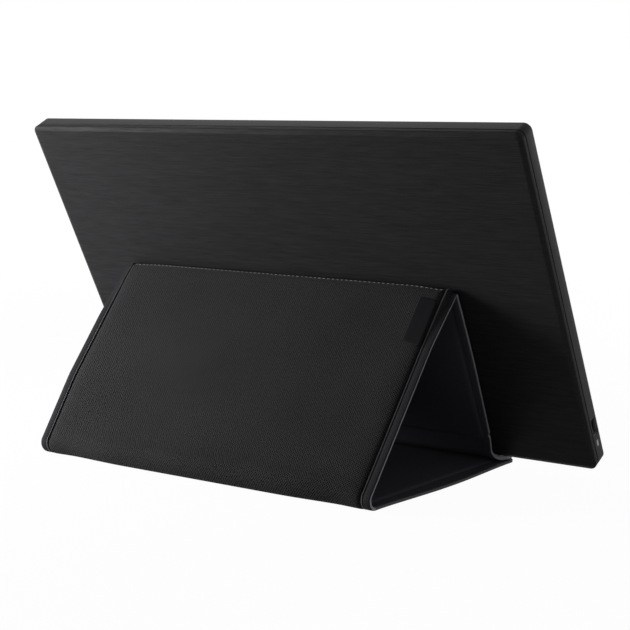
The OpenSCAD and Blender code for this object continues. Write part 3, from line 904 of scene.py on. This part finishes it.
@dataclass(frozen=True)
class CoverStretch:
    """One piece of the cover: a stretch along its section, and what it follows."""

    name: str
    start: float
    end: float
    bodies: tuple[str, ...]
    nodes: tuple[str, ...]
    joint_ends: Optional[tuple[Spot, Spot]] = None


@dataclass
class FoldingCover:
    """The folding stand cover: fabric outside, lining inside, with its hems, ridge stitches and label.

    A fade is a pair of distances from the cover's end, between which a shape changes. Six values in a row
    belong to both ends of the rear, the ridge and the foot fold.
    """

    section: CoverSection = field(default_factory=CoverSection)
    fold_reach: float = 14.0
    foot_reach: float = 16.5
    tray_reach: float = 3.0
    end_corner: float = 6.0
    fabric: float = 0.8
    fabric_least: float = 0.25
    lining: float = 0.75
    layer_gap: float = 0.01
    soft_depth: float = 1.7
    least_depth: float = 0.3
    hem_press: float = 1.1
    hem_blend: Spot = (6.9, 10)
    table_gap: float = 0.01
    hem_groove: float = 7.0
    board_start: float = 8.0
    fold_margin: float = 3.0
    foot_soft: float = 12.4
    ridge_middle: float = 6.8
    ridge_hem: float = 2.6
    ridge_fade: Spot = (3, 10)
    rear_hem: float = 7.0
    rear_fade: Spot = (3, 30)
    hem_sinks: tuple[float, ...] = (0.12, 1.0, 1.0, 0.3, 0.3, 0.05)
    hem_thickness: tuple[float, ...] = (2.3, 1.6, 1.4, 2.2, 2.4, 3.0)
    highlight_rim_widths: tuple[float, ...] = (0.3, 0, 0, 0.35, 0.35, 1.2)
    stitch_pitch: float = 3.5
    stitch_length: float = 2.3
    stitch_radius: float = 0.24
    stitch_place: float = 6.0
    stitch_sink: float = 0.05
    seam_inset: float = 9.5
    seam_points: int = 60
    label_size: Spot = (12.5, 32.0)
    label_side: float = 5.0
    label_clear: float = 2.5
    label_down: float = 5.8
    label_skew: float = 0.17
    label_height: float = 0.6
    label_under: float = 0.4
    label_corner: float = 1.5
    label_edge: Knots = ((0.0, 0.35), (0.02, 0.12), (0.15, 0.0), (0.5, -0.08), (1.2, -0.1), (1.6, -0.1))
    wave: float = 0.14
    floor_bow: float = 3.0
    floor_bow_place: Spot = (85, 76)
    rear_bow: float = 2.5
    rear_bow_reach: float = 16
    drawn_in: float = 3.0
    drawn_soft: float = 4.8
    drawn_tray: float = 1.5
    draw_reach: float = 7.4
    nick: float = 0.9
    nick_reach: float = 1.8
    crease: float = 0.6
    crease_reach: float = 4.5
    fold_sag: Spot = (1.4, 1.0)
    sag_reach: float = 9.5
    sag_fade: Spot = (2, 34)
    hem_dip: Spot = (4.8, 4.4)
    dip_reach: float = 30.0
    dip_fade: Spot = (2.5, 7.2)
    high_push: float = 6.0
    push_foot: float = 0.22
    push_rise: float = 45
    push_reach: float = 70
    bead_highlight_band: Spot = (5.2, 6.1)
    edge_roll: Knots = ((0, 0.55), (0.12, 0.34), (0.35, 0.18), (0.7, 0.07), (1.4, 0))
    hem_shape: Knots = (
        *((3.4, 1.0), (4.3, 1.15), (5.0, 1.5), (5.4, 0.9), (5.8, 0.8), (6.1, 1.1), (6.4, 1.75)),
        *((6.8, 2.0), (7.4, 1.95), (7.7, 1.35), (8.0, 0.65), (8.6, 0.3), (9.6, 0)),
    )
    puff_shape: Knots = ((9.6, 0), (11, 0.22), (13, 0.42), (16, 0.5), (21, 0.4), (30, 0.16), (45, 0))
    rim_shape: Knots = (
        *((0, 0.86), (0.12, 0.95), (0.35, 0.98), (0.7, 1.0), (1.4, 1.0)),
        *((5.7, 1.0), (6.4, 0.98), (7.2, 0.9), (7.9, 0.98), (9.1, 1.0)),
    )
    edge_rows: tuple[float, ...] = (
        *(0, 0.12, 0.35, 0.7, 1.4, 2.4, 3.4, 4.4, 5.0, 5.4),
        *(5.8, 6.1, 6.4, 6.8, 7.4, 7.7, 8.0, 8.6, 9.6, 11),
    )
    fold_steps: int = 22
    foot_steps: int = 14
    row_step: float = 3.6
    fold_rows: tuple[float, ...] = (0.7, 1.5, 2.2, 3.0, 4.0, 6.0, 9.0)
    nick_rows: tuple[float, ...] = (-1.2, -0.6, 0, 0.6, 1.2, 2.4)
    edge_columns: tuple[float, ...] = (
        *(0, 0.12, 0.35, 0.7, 1.4, 2.4, 3.4, 4.3, 5.0, 5.4, 5.8, 6.1, 6.4),
        *(6.8, 7.1, 7.4, 7.7, 8.0, 8.6, 9.6, 11, 13, 15, 18, 22, 27),
    )
    middle_start: float = 33
    middle_columns: int = 44
    low_x: float = field(init=False)
    high_x: float = field(init=False)
    width: float = field(init=False)

    def __post_init__(self) -> None:
        """Reads the cover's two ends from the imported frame."""
        low, high = box_mm("slope_fabric")
        self.low_x, self.high_x = float(low[0]), float(high[0])
        self.width = self.high_x - self.low_x

    def columns(self) -> np.ndarray:
        """Distances from the low end, dense over both hems and wide in the middle."""
        edge = np.array(self.edge_columns)
        middle = np.linspace(self.middle_start, self.width - self.middle_start, self.middle_columns)
        return np.concatenate([edge, middle, self.width - edge[::-1]])

    def rows(self, start: float, end: float) -> np.ndarray:
        """Lengths along the section for one piece, dense over folds, board ends and free edges."""
        sec = self.section
        marks = {start, end}
        for zone in FOLDS:
            steps = self.foot_steps if zone is Zone.FOOT else self.fold_steps
            marks |= set(np.linspace(sec.starts[zone], sec.ends[zone], steps))
            for away in self.fold_rows:
                marks |= {sec.starts[zone] - away, sec.ends[zone] + away}
        marks |= {sec.starts[Zone.FOOT] - self.foot_soft + past for past in self.nick_rows}
        for away in self.edge_rows:
            marks |= {away, sec.total - away}
        marks |= set(np.arange(12, sec.total - 12, self.row_step))
        inside = sorted(m for m in marks if start - 1e-6 <= m <= end + 1e-6)
        kept = [inside[0]]
        for m in inside[1:]:
            if m - kept[-1] > 0.1 or m == end:
                kept.append(m)
        if len(kept) > 2 and kept[-1] - kept[-2] < 0.1:
            kept.pop(-2)
        return np.array(kept)

    def end_inset(self, s: float) -> float:
        """How far a rounded free corner draws the cover's ends in at this place."""
        away = min(s, self.section.total - s)
        if away >= self.end_corner:
            return 0.0
        r = self.end_corner
        return r - math.sqrt(max(r * r - (r - away) ** 2, 0.0))

    def edge_distance(self, s: float, d: np.ndarray) -> np.ndarray:
        """Distance of each place from the nearest outer edge, with the corners rounded."""
        r = self.end_corner
        away = min(s, self.section.total - s)
        cut = np.minimum(d + self.end_inset(s), self.width / 2)
        corner = (away < r) & (cut < r)
        round_part = r - np.hypot(r - np.minimum(cut, r), r - min(away, r))
        return np.where(corner, np.maximum(round_part, 0), np.minimum(cut, away))

    def board_share(self, s: float) -> float:
        """1 where the panel holds its board, 0 on the soft stretches by the folds."""
        sec = self.section
        share = 1.0
        for zone in FOLDS:
            low = sec.starts[zone] - (self.foot_soft if zone is Zone.FOOT else self.fold_margin)
            high = sec.ends[zone] + self.fold_margin
            soft = smooth(s, low - 0.5, low + 2) * (1 - smooth(s, high - 2, high + 0.5))
            share = min(share, float(1 - soft))
        return share

    def along(self, s: float, values: Sequence[float]) -> float:
        """Value at one place of the section, from its values at both ends of each fold in turn."""
        places = [at[zone] for zone in FOLDS for at in (self.section.starts, self.section.ends)]
        return float(np.interp(s, places, values))

    def padded_share(self, s: float) -> float:
        """1 on the slope, where the cloth is puffed up, 0 on the other panels."""
        sec = self.section
        rise = smooth(s, sec.starts[Zone.REAR] + 0.35 * sec.lengths[Zone.REAR], sec.starts[Zone.SLOPE])
        return float(rise * (1 - smooth(s, sec.starts[Zone.RIDGE] - 10, sec.starts[Zone.RIDGE])))

    def outer_depth(self, s: float, d: np.ndarray) -> np.ndarray:
        """Depth of the outer face: a thin hem, a raised bead, a groove, then cloth puffed over the board."""
        away = self.edge_distance(s, d)
        wave = self.wave * np.sin(s / 23 + 0.9) * np.sin(d / 31 + s / 60) * smooth(d, 12, 40)
        edge = between(away, self.edge_roll) + between(away, self.hem_shape) * self.along(s, self.hem_sinks)
        padded = (wave - between(away, self.puff_shape)) * self.padded_share(s)
        crest = self.section.starts[Zone.SLOPE] - 4
        bow = self.rear_bow * hump(s, crest, self.rear_bow_reach) * smooth(d, 8, 70)
        return edge + padded - bow - self.foot_crease(s, d)

    def foot_crease(self, s: float, d: np.ndarray) -> np.ndarray:
        """Height of the uneven crease where the slope's cloth turns under at the rear fold."""
        sec = self.section
        top = sec.starts[Zone.SLOPE] + 1.5
        ripple = 0.6 + 0.25 * np.sin(d / 6.1 + 1.0) + 0.15 * np.sin(d / 2.7)
        wander = 1.2 * np.sin(d / 11)
        return self.crease * hump(s, top + wander, self.crease_reach) * ripple * smooth(d, 10, 16)

    def inner_depth(self, s: float, d: np.ndarray) -> np.ndarray:
        """Depth of the lining's face: level over the board, thinner at folds and at the hem."""
        middle = self.soft_depth + (self.section.panel - self.soft_depth) * self.board_share(s)
        away = self.edge_distance(s, d)
        thin = self.along(s, self.hem_thickness) * between(away, self.rim_shape)
        hem = self.hem_press * self.along(s, self.hem_sinks) + thin
        share = smooth(away, *self.hem_blend)
        return np.maximum(hem + (middle - hem) * share, self.outer_depth(s, d) + self.least_depth)

    def ridge_dip(self, s: float, y: np.ndarray, columns: np.ndarray) -> np.ndarray:
        """How far the ridge droops towards its two ends, more at the low one.

        Args:
            s: length along the section.
            y: each point's own Y.
            columns: each point's distance from the low end.

        Returns:
            The drop of each point.
        """
        sec = self.section
        if not sec.starts[Zone.SLOPE] < s < sec.starts[Zone.FOOT]:
            return np.zeros_like(columns)
        near = np.minimum(columns, self.width - columns)
        low = columns < self.width / 2
        apex = float(sec.ridge_centre[0])
        drop = np.zeros_like(columns)
        for ends, reach, fade in (
            (self.fold_sag, self.sag_reach, self.sag_fade),
            (self.hem_dip, self.dip_reach, self.dip_fade),
        ):
            drop += np.where(low, *ends) * hump(y, apex, reach) * (1 - smooth(near, *fade))
        return drop

    def high_shift(self, s: float, columns: np.ndarray) -> np.ndarray:
        """How far the slope's high end bulges out beyond its board, fading towards the middle."""
        rear, slope, lean = (self.section.starts[zone] for zone in (Zone.REAR, Zone.SLOPE, Zone.LEAN))
        rise = self.push_rise
        knots = ((rear, 0), (slope, self.push_foot), (slope + rise, 1), (lean, 1), (lean + rise, 0))
        fade = 1 - smooth(self.width - columns, 0, self.push_reach)
        return self.high_push * float(between(s, knots)) * fade

    def layer(self, skin: Skin, s: float, d: np.ndarray, outer: bool) -> np.ndarray:
        """Depth of one face of one cloth layer.

        Args:
            skin: fabric or lining.
            s: length along the section.
            d: distances from the end that is nearer.
            outer: the face turned to the outside of the folded cover, or the other.

        Returns:
            The depths below the nominal outer face.
        """
        away = self.edge_distance(s, d)
        hem = 1 - smooth(away, self.hem_groove, self.board_start)
        top, bottom = self.outer_depth(s, d), self.inner_depth(s, d)
        if skin is Skin.FABRIC and outer:
            return top
        if skin is Skin.LINING and not outer:
            return bottom
        split = np.maximum(bottom - self.lining, (top + bottom) / 2)
        if skin is Skin.FABRIC:
            flat = np.maximum(self.fabric, top + self.fabric_least)
            return np.minimum(flat + (split - flat) * hem, split)
        return split + self.layer_gap

    def fold_radii(self, d: np.ndarray) -> tuple[np.ndarray, np.ndarray]:
        """Outer radii of the ridge and rear folds, which are sharper at the pressed hems."""
        ridge = self.ridge_hem + (self.ridge_middle - self.ridge_hem) * smooth(d, *self.ridge_fade)
        rear = self.rear_hem + (self.section.rear_radius - self.rear_hem) * smooth(d, *self.rear_fade)
        return ridge, rear

    def end_draw(self, s: float) -> float:
        """How far the low end is drawn in: out on the floor, in and with a nick on the leaning panel."""
        lean, foot, tray = (self.section.starts[zone] for zone in (Zone.LEAN, Zone.FOOT, Zone.TRAY))
        nick = foot - self.foot_soft
        soft, rear = (foot, self.drawn_soft), (tray, self.drawn_tray)
        drawn = between(s, ((lean, 0), (nick, self.drawn_in), soft, rear, (tray + 4, 0)))
        bow = self.floor_bow * hump(s, *self.floor_bow_place)
        return float(drawn + self.nick * hump(s, nick, self.nick_reach) - bow)

    def grid(self, skin: Skin, s: float, outer: bool) -> tuple[np.ndarray, np.ndarray]:
        """One row of a layer's face, as points and as places on the flat cloth."""
        columns = self.columns()
        half = self.width / 2
        near = np.minimum(columns, self.width - columns)
        x = self.low_x + np.clip(columns, 0, self.width)
        x = x + self.end_inset(s) * np.where(columns < half, 1, -1) * (1 - smooth(near, 0, half))
        x = x + self.end_draw(s) * (1 - smooth(columns, 0, self.draw_reach)) + self.high_shift(s, columns)
        yz = self.section.point(s, self.layer(skin, s, near, outer), *self.fold_radii(near))
        yz[:, 1] = np.maximum(yz[:, 1] - self.ridge_dip(s, yz[:, 0], columns), self.table_gap)
        return np.column_stack([x, yz]), np.column_stack([columns * MM, np.full(len(columns), s * MM)])

    def layer_piece(self, skin: Skin, stretch: CoverStretch) -> None:
        """Closed skin of one layer over one stretch, capped at its ends.

        Args:
            skin: fabric or lining.
            stretch: the stretch and what it follows.
        """
        rows = self.rows(stretch.start, stretch.end)
        faced = [self.grid(skin, s, outer) for outer in (True, False) for s in rows]
        points, uv = (np.vstack(part) for part in zip(*faced))
        across, along = len(self.columns()), len(rows)
        back = across * along
        faces, zones = [], []
        for i in range(along - 1):
            for j in range(across - 1):
                a, b = i * across + j, i * across + j + 1
                c, e = a + across, b + across
                faces += [(a, b, e, c), (back + a, back + c, back + e, back + b)]
                zones += [self.hem_surface(skin, rows[i], j), Surface.CLOTH]
        rim = [(0, j) for j in range(across)]
        rim += [(i, across - 1) for i in range(1, along)]
        rim += [(along - 1, j) for j in range(across - 2, -1, -1)]
        rim += [(i, 0) for i in range(along - 2, 0, -1)]
        first, last = stretch.start <= 0, stretch.end >= self.section.total
        for k, (i, j) in enumerate(rim):
            n, m = rim[(k + 1) % len(rim)]
            p, q = i * across + j, n * across + m
            faces.append((q, p, back + p, back + q))
            side = j == m and j in (0, across - 1)
            free = (i == n == 0 and first) or (i == n == along - 1 and last)
            floor = rows[min(i, n)] < self.section.starts[Zone.REAR]
            # cut edges take a painted highlight, and the floor panel's take the bead's dimmer painted
            # highlight
            cut = Surface.BEAD if floor else Surface.CUT
            zones.append(cut if side or free else Surface.CLOTH)
        fabric = skin is Skin.FABRIC
        finish = COVER_CLOTH if fabric else LINING
        finishes = [f.material() for f in (finish, CUT_EDGE_HIGHLIGHT, HEM_CLOTH, HEM_BEAD_HIGHLIGHT)]
        name = f"{stretch.name}_{'cloth' if fabric else 'tricot'}"
        piece = make_piece(name, points, faces, finishes, zones, uv, sharp_deg=50)
        self.join_bodies(piece, stretch)
        nodes = [n for n in stretch.nodes if n.endswith(skin.value)]
        if nodes:
            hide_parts(*nodes)

    def hem_surface(self, skin: Skin, s: float, column: int) -> Surface:
        """Finish of an outer face: cloth, cut edge, pressed hem or bead; the cut edge and the bead carry
        painted highlights.
        """
        if skin is Skin.LINING:
            return Surface.CLOTH
        columns = self.columns()
        x = (columns[column] + columns[column + 1]) / 2
        away = float(self.edge_distance(s, np.array([min(x, self.width - x)]))[0])
        # a strip along the cut edge is painted pale as a highlight
        if away < self.along(s, self.highlight_rim_widths):
            return Surface.CUT
        if away > self.board_start:
            return Surface.CLOTH
        # the bead's band is painted pale as a highlight
        low, high = self.bead_highlight_band
        return Surface.BEAD if low < away < high else Surface.HEM

    def join_bodies(self, piece: bpy.types.Object, stretch: CoverStretch) -> None:
        """Lets a piece ride on its panel; a piece between two panels stays where it is built."""
        if len(stretch.bodies) == 1:
            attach(piece, stretch.bodies[0])
        else:
            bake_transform(piece)
        LOG.info("%s follows %s", piece.name, " and ".join(stretch.bodies))

    def stretches(self) -> list[CoverStretch]:
        """The seven stretches of the cover in order from the floor panel's front edge to the tray's."""
        sec = self.section
        reach = self.fold_reach
        cuts = [
            0.0,
            sec.starts[Zone.REAR] - reach,
            sec.ends[Zone.REAR] + reach,
            sec.starts[Zone.RIDGE] - reach,
            sec.ends[Zone.RIDGE] + reach,
            sec.starts[Zone.FOOT] - self.foot_reach,
            sec.ends[Zone.FOOT] + self.tray_reach,
            sec.total,
        ]
        rear = (tuple(sec.rear_centre - [0, sec.rear_radius]), tuple(sec.slope_foot))
        ridge = (tuple(sec.slope_top), tuple(sec.lean_top))
        foot = (tuple(sec.lean_foot), tuple(sec.tray_rear))
        plan = [
            ("floor_panel", ("floor_panel",), ("floor_fabric", "floor_lining"), None),
            ("rear_fold", ("floor_panel", "slope_panel"), ("rear_fold_fabric",), rear),
            ("slope_panel", ("slope_panel",), ("slope_fabric", "slope_lining"), None),
            ("ridge_fold", ("slope_panel", "lean_panel"), ("ridge_fold_fabric",), ridge),
            ("lean_panel", ("lean_panel",), ("lean_fabric", "lean_lining"), None),
            ("foot_fold", ("lean_panel", "tray_panel"), ("foot_fold_fabric",), foot),
            ("tray_panel", ("tray_panel",), ("tray_fabric", "tray_lining"), None),
        ]
        return [
            CoverStretch(name, cuts[i], cuts[i + 1], bodies, nodes, ends_at)
            for i, (name, bodies, nodes, ends_at) in enumerate(plan)
        ]

    def seam_path(self) -> np.ndarray:
        """Line of the ridge seam on the cloth, from hem to hem."""
        s = self.section.starts[Zone.RIDGE] + self.stitch_place
        points = []
        for x in np.linspace(self.low_x + self.seam_inset, self.high_x - self.seam_inset, self.seam_points):
            near = np.array([min(x - self.low_x, self.high_x - x)])
            depth = self.outer_depth(s, near) + self.stitch_sink
            y, z = self.section.point(s, depth, *self.fold_radii(near))[0]
            column = np.array([x - self.low_x])
            drop = float(self.ridge_dip(s, np.array([y]), column)[0])
            points.append((x + float(self.high_shift(s, column)[0]), y, z - drop))
        return np.array(points)

    def ridge_stitches(self) -> None:
        """Row of stitches along the ridge, set on a path by a node tree."""
        carrier = path_object("ridge_stitch_path", self.seam_path())
        sizes = {
            "Pitch": self.stitch_pitch * MM,
            "Length": self.stitch_length * MM,
            "Radius": self.stitch_radius * MM,
            "Seed": SEED,
        }
        piece = repeated(carrier, "ridge_stitches", stitch_tree(THREAD.material()), sizes)
        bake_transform(piece)

    def label(self) -> None:
        """Bare label beside the hem: a coated patch with soft edges."""
        sec = self.section
        high = sec.starts[Zone.RIDGE] - self.label_down
        left, low = self.low_x + self.label_side + self.label_clear, high - self.label_size[1]
        # the label follows the panel's plane, so it takes the fold radii of a place well inside the hems
        radii = self.fold_radii(np.array([40.0]))
        rings = []
        for inset, sink in self.label_edge:
            wide, long = (size - 2 * inset for size in self.label_size)
            ring = rounded(left + inset, low + inset, wide, long, max(self.label_corner - inset, 0.3), 10)
            ring[:, 1] += self.label_skew * (ring[:, 0] - left)
            depth = np.array([sink - self.label_height])
            yz = np.array([sec.point(s, depth, *radii)[0] for s in ring[:, 1]])
            yz[:, 1] -= self.ridge_dip(high, yz[:, 0], ring[:, 0] - self.low_x)
            rings.append(np.column_stack([ring[:, 0], yz]))
        under = rings[0] - np.array([0, *sec.slope_out]) * (self.label_height + self.label_under)
        points, faces = loft([under, *rings], closed=False)
        piece = make_piece("bare_label", points, faces, [LABEL.material()], sharp_deg=60)
        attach(piece, "slope_panel")
        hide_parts("sewn_label")

    def dress_inside(self) -> None:
        """Gives the boards and magnets their finishes."""
        for panel in ("floor", "slope", "lean", "tray"):
            recolour(f"{panel}_board", FIBREBOARD.material())
        for panel in ("floor", "tray"):
            recolour(f"{panel}_magnets", MAGNET.material())

    def build(self) -> None:
        """Builds both cloth layers of every stretch, the seam and the label."""
        for stretch in self.stretches():
            for skin in Skin:
                self.layer_piece(skin, stretch)
        self.ridge_stitches()
        self.label()
        self.dress_inside()


def path_object(name: str, points: np.ndarray) -> bpy.types.Object:
    """Curve object of one open line through points in millimetres."""
    curve = bpy.data.curves.new(name, "CURVE")
    curve.dimensions = "3D"
    line = curve.splines.new("POLY")
    line.points.add(len(points) - 1)
    for node, point in zip(line.points, points * MM):
        node.co = (*point, 1)
    return linked(name, curve)


def stitch_tree(material: bpy.types.Material) -> bpy.types.NodeTree:
    """Node tree that lays short round stitches along a path.

    Args:
        material: the thread's finish.

    Returns:
        The tree, with inputs Pitch, Length, Radius and Seed.
    """
    tree = bpy.data.node_groups.new("stitches_on_path", "GeometryNodeTree")
    face = tree.interface
    face.new_socket("Geometry", in_out="INPUT", socket_type="NodeSocketGeometry")
    for name, kind in (("Pitch", "Float"), ("Length", "Float"), ("Radius", "Float"), ("Seed", "Int")):
        face.new_socket(name, in_out="INPUT", socket_type=f"NodeSocket{kind}")
    face.new_socket("Geometry", in_out="OUTPUT", socket_type="NodeSocketGeometry")
    given = add_node(tree, "NodeGroupInput").outputs
    path = {"Curve": given["Geometry"], "Length": given["Pitch"]}
    spaced = add_node(tree, "GeometryNodeResampleCurve", path, mode="LENGTH").outputs[0]
    points = add_node(tree, "GeometryNodeCurveToPoints", {"Curve": spaced}, mode="EVALUATED").outputs
    thread = add_node(tree, "GeometryNodeMeshUVSphere", {"Segments": 8, "Rings": 6, "Radius": 1.0})
    half = add_node(tree, "ShaderNodeMath", {0: given["Length"], 1: 0.5}, operation="MULTIPLY").outputs[0]
    sides = {"X": given["Radius"], "Y": given["Radius"], "Z": half}
    size = add_node(tree, "ShaderNodeCombineXYZ", sides).outputs[0]
    limits = {"Min": (0.85, 0.85, 0.88), "Max": (1.1, 1.1, 1.06), "Seed": given["Seed"]}
    varied = add_node(tree, "FunctionNodeRandomValue", limits, data_type="FLOAT_VECTOR").outputs["Value"]
    scaled = add_node(tree, "ShaderNodeVectorMath", {0: size, 1: varied}, operation="MULTIPLY").outputs[0]
    ahead = {"Vector": points["Tangent"]}
    turn = add_node(tree, "FunctionNodeAlignRotationToVector", ahead, axis="Z").outputs[0]
    stitch = {"Instance": thread.outputs["Mesh"], "Rotation": turn, "Scale": scaled}
    laid = add_node(tree, "GeometryNodeInstanceOnPoints", {"Points": points["Points"], **stitch})
    real = add_node(tree, "GeometryNodeRealizeInstances", {"Geometry": laid.outputs[0]})
    dressed = add_node(tree, "GeometryNodeSetMaterial", {"Geometry": real.outputs[0], "Material": material})
    smoothed = add_node(tree, "GeometryNodeSetShadeSmooth", {"Geometry": dressed.outputs[0]})
    add_node(tree, "NodeGroupOutput", {0: smoothed.outputs[0]})
    return tree


def repeated(
    carrier: bpy.types.Object, name: str, tree: bpy.types.NodeTree, sizes: dict[str, float | int]
) -> bpy.types.Object:
    """Runs a node tree on a carrier and keeps the result as a plain mesh.

    Args:
        carrier: the path or mesh that the tree works on; it is removed afterwards.
        name: the new piece's name.
        tree: the geometry node tree.
        sizes: the tree's inputs by name.

    Returns:
        The new piece at the origin.
    """
    modifier = carrier.modifiers.new("repeat", "NODES")
    modifier.node_group = tree
    for item in tree.interface.items_tree:
        if item.item_type == "SOCKET" and item.in_out == "INPUT" and item.name in sizes:
            modifier[item.identifier] = sizes[item.name]
    mesh = evaluated(carrier)
    mesh.name = name
    bpy.data.objects.remove(carrier)
    return linked(name, mesh)


# The studio


@dataclass(frozen=True)
class SoftLamp:
    """A square soft lamp that looks at a point."""

    name: str
    place: tuple[float, float, float]
    size: float
    power: float
    target: tuple[float, float, float] = (0.0, 60.0, 90.0)

    def build(self) -> None:
        """Adds the lamp."""
        data = bpy.data.lights.new(self.name, "AREA")
        data.shape = "SQUARE"
        data.size = self.size * MM
        data.energy = self.power
        lamp = linked(self.name, data)
        lamp.location = Vector(self.place) * MM
        lamp.rotation_mode = "QUATERNION"
        lamp.visible_camera = False
        lamp.rotation_quaternion = (Vector(self.target) * MM - lamp.location).to_track_quat("-Z", "Y")


@dataclass
class Studio:
    """Pale floor, soft light and the camera of the photograph."""

    azimuth: float = 215.82
    elevation: float = 7.10
    roll: float = 0.50
    distance: float = 1093.0
    target: tuple[float, float, float] = (27.3, 0.0, 86.5)
    lens: float = 89.3
    ambient: float = 0.15
    floor_glow: float = 0.97
    floor_fade: Spot = (300.0, 1200.0)
    floor_half: float = 6000.0
    floor_height: float = -0.2
    lamps: tuple[SoftLamp, ...] = (
        SoftLamp("key", (520, 420, 185), 300, 7.9),
        SoftLamp("top", (500, -300, 970), 600, 1.6),
        SoftLamp("side", (-950, 20, 220), 500, 2.2),
        SoftLamp("front", (-150, -900, 450), 600, 5.0),
    )

    def camera(self) -> None:
        """Adds the camera and makes it the scene's."""
        a, e, r = (math.radians(x) for x in (self.azimuth, self.elevation, self.roll))
        back = Vector((math.sin(a) * math.cos(e), -math.cos(a) * math.cos(e), math.sin(e)))
        right = (-back).cross(Vector((0, 0, 1))).normalized()
        up = right.cross(-back)
        turned = math.cos(r) * right + math.sin(r) * up
        upright = -math.sin(r) * right + math.cos(r) * up
        data = bpy.data.cameras.new("photo_camera")
        data.lens = self.lens
        data.sensor_width = 36
        data.clip_end = 20
        eye = linked("photo_camera", data)
        pose = Matrix.Identity(4)
        for column, axis in enumerate((turned, upright, back)):
            for row in range(3):
                pose[row][column] = axis[row]
        pose.translation = (Vector(self.target) + back * self.distance) * MM
        eye.matrix_world = pose
        bpy.context.scene.camera = eye

    def seen_directly(self, tree: bpy.types.NodeTree) -> bpy.types.NodeSocket:
        """1 for rays from the camera and for those that glossy or clear surfaces send on."""
        path = add_node(tree, "ShaderNodeLightPath").outputs
        seen = path["Is Camera Ray"]
        for kind in ("Is Glossy Ray", "Is Transmission Ray"):
            seen = add_node(tree, "ShaderNodeMath", {0: seen, 1: path[kind]}, operation="MAXIMUM").outputs[0]
        return seen

    def world(self) -> None:
        """White where it is seen, and a soft even light elsewhere."""
        world = bpy.data.worlds.new("studio")
        bpy.context.scene.world = world
        tree = fresh_tree(world)
        mixed = {0: self.seen_directly(tree)}
        for socket, strength in ((1, self.ambient), (2, 1.0)):
            light = {"Color": linear("#ffffff"), "Strength": strength}
            mixed[socket] = add_node(tree, "ShaderNodeBackground", light).outputs[0]
        mix = add_node(tree, "ShaderNodeMixShader", mixed)
        add_node(tree, "ShaderNodeOutputWorld", {"Surface": mix.outputs[0]})

    def floor(self) -> None:
        """Pale floor that keeps the object's shadow."""
        far, low = self.floor_half, self.floor_height
        points = np.array([(-far, -far, low), (far, -far, low), (far, far, low), (-far, far, low)])
        material = bpy.data.materials.new("painted_floor")
        tree = fresh_tree(material)
        place = add_node(tree, "ShaderNodeTexCoord").outputs["Object"]
        away = add_node(tree, "ShaderNodeVectorMath", {0: place}, operation="LENGTH").outputs["Value"]
        inner, outer = (fade * MM for fade in self.floor_fade)
        faded = {"Value": away, 1: inner, 2: outer, 3: self.floor_glow, 4: 1.0}
        level = add_node(tree, "ShaderNodeMapRange", faded).outputs[0]
        diffuse = add_node(tree, "ShaderNodeBsdfDiffuse", {"Color": linear("#d2d2d2")}).outputs[0]
        white = {"Color": linear("#ffffff"), "Strength": 1.0}
        glow = add_node(tree, "ShaderNodeEmission", white).outputs[0]
        shown = {0: self.seen_directly(tree), 1: level}
        share = add_node(tree, "ShaderNodeMath", shown, operation="MULTIPLY").outputs[0]
        mix = add_node(tree, "ShaderNodeMixShader", {0: share, 1: diffuse, 2: glow})
        add_node(tree, "ShaderNodeOutputMaterial", {"Surface": mix.outputs[0]})
        make_piece("studio_floor", points, [(0, 1, 2, 3)], [material])

    def build(self) -> None:
        """Sets up the camera, the light and the floor."""
        bpy.context.scene.view_settings.view_transform = "Standard"
        self.camera()
        self.world()
        self.floor()
        for lamp in self.lamps:
            lamp.build()


def main() -> None:
    """Builds the studio, the monitor and its cover."""
    logging.basicConfig(level=logging.INFO, format="%(name)s: %(message)s")
    Studio().build()
    MonitorCase().build()
    FoldingCover().build()


if __name__ == "__main__":
    main()
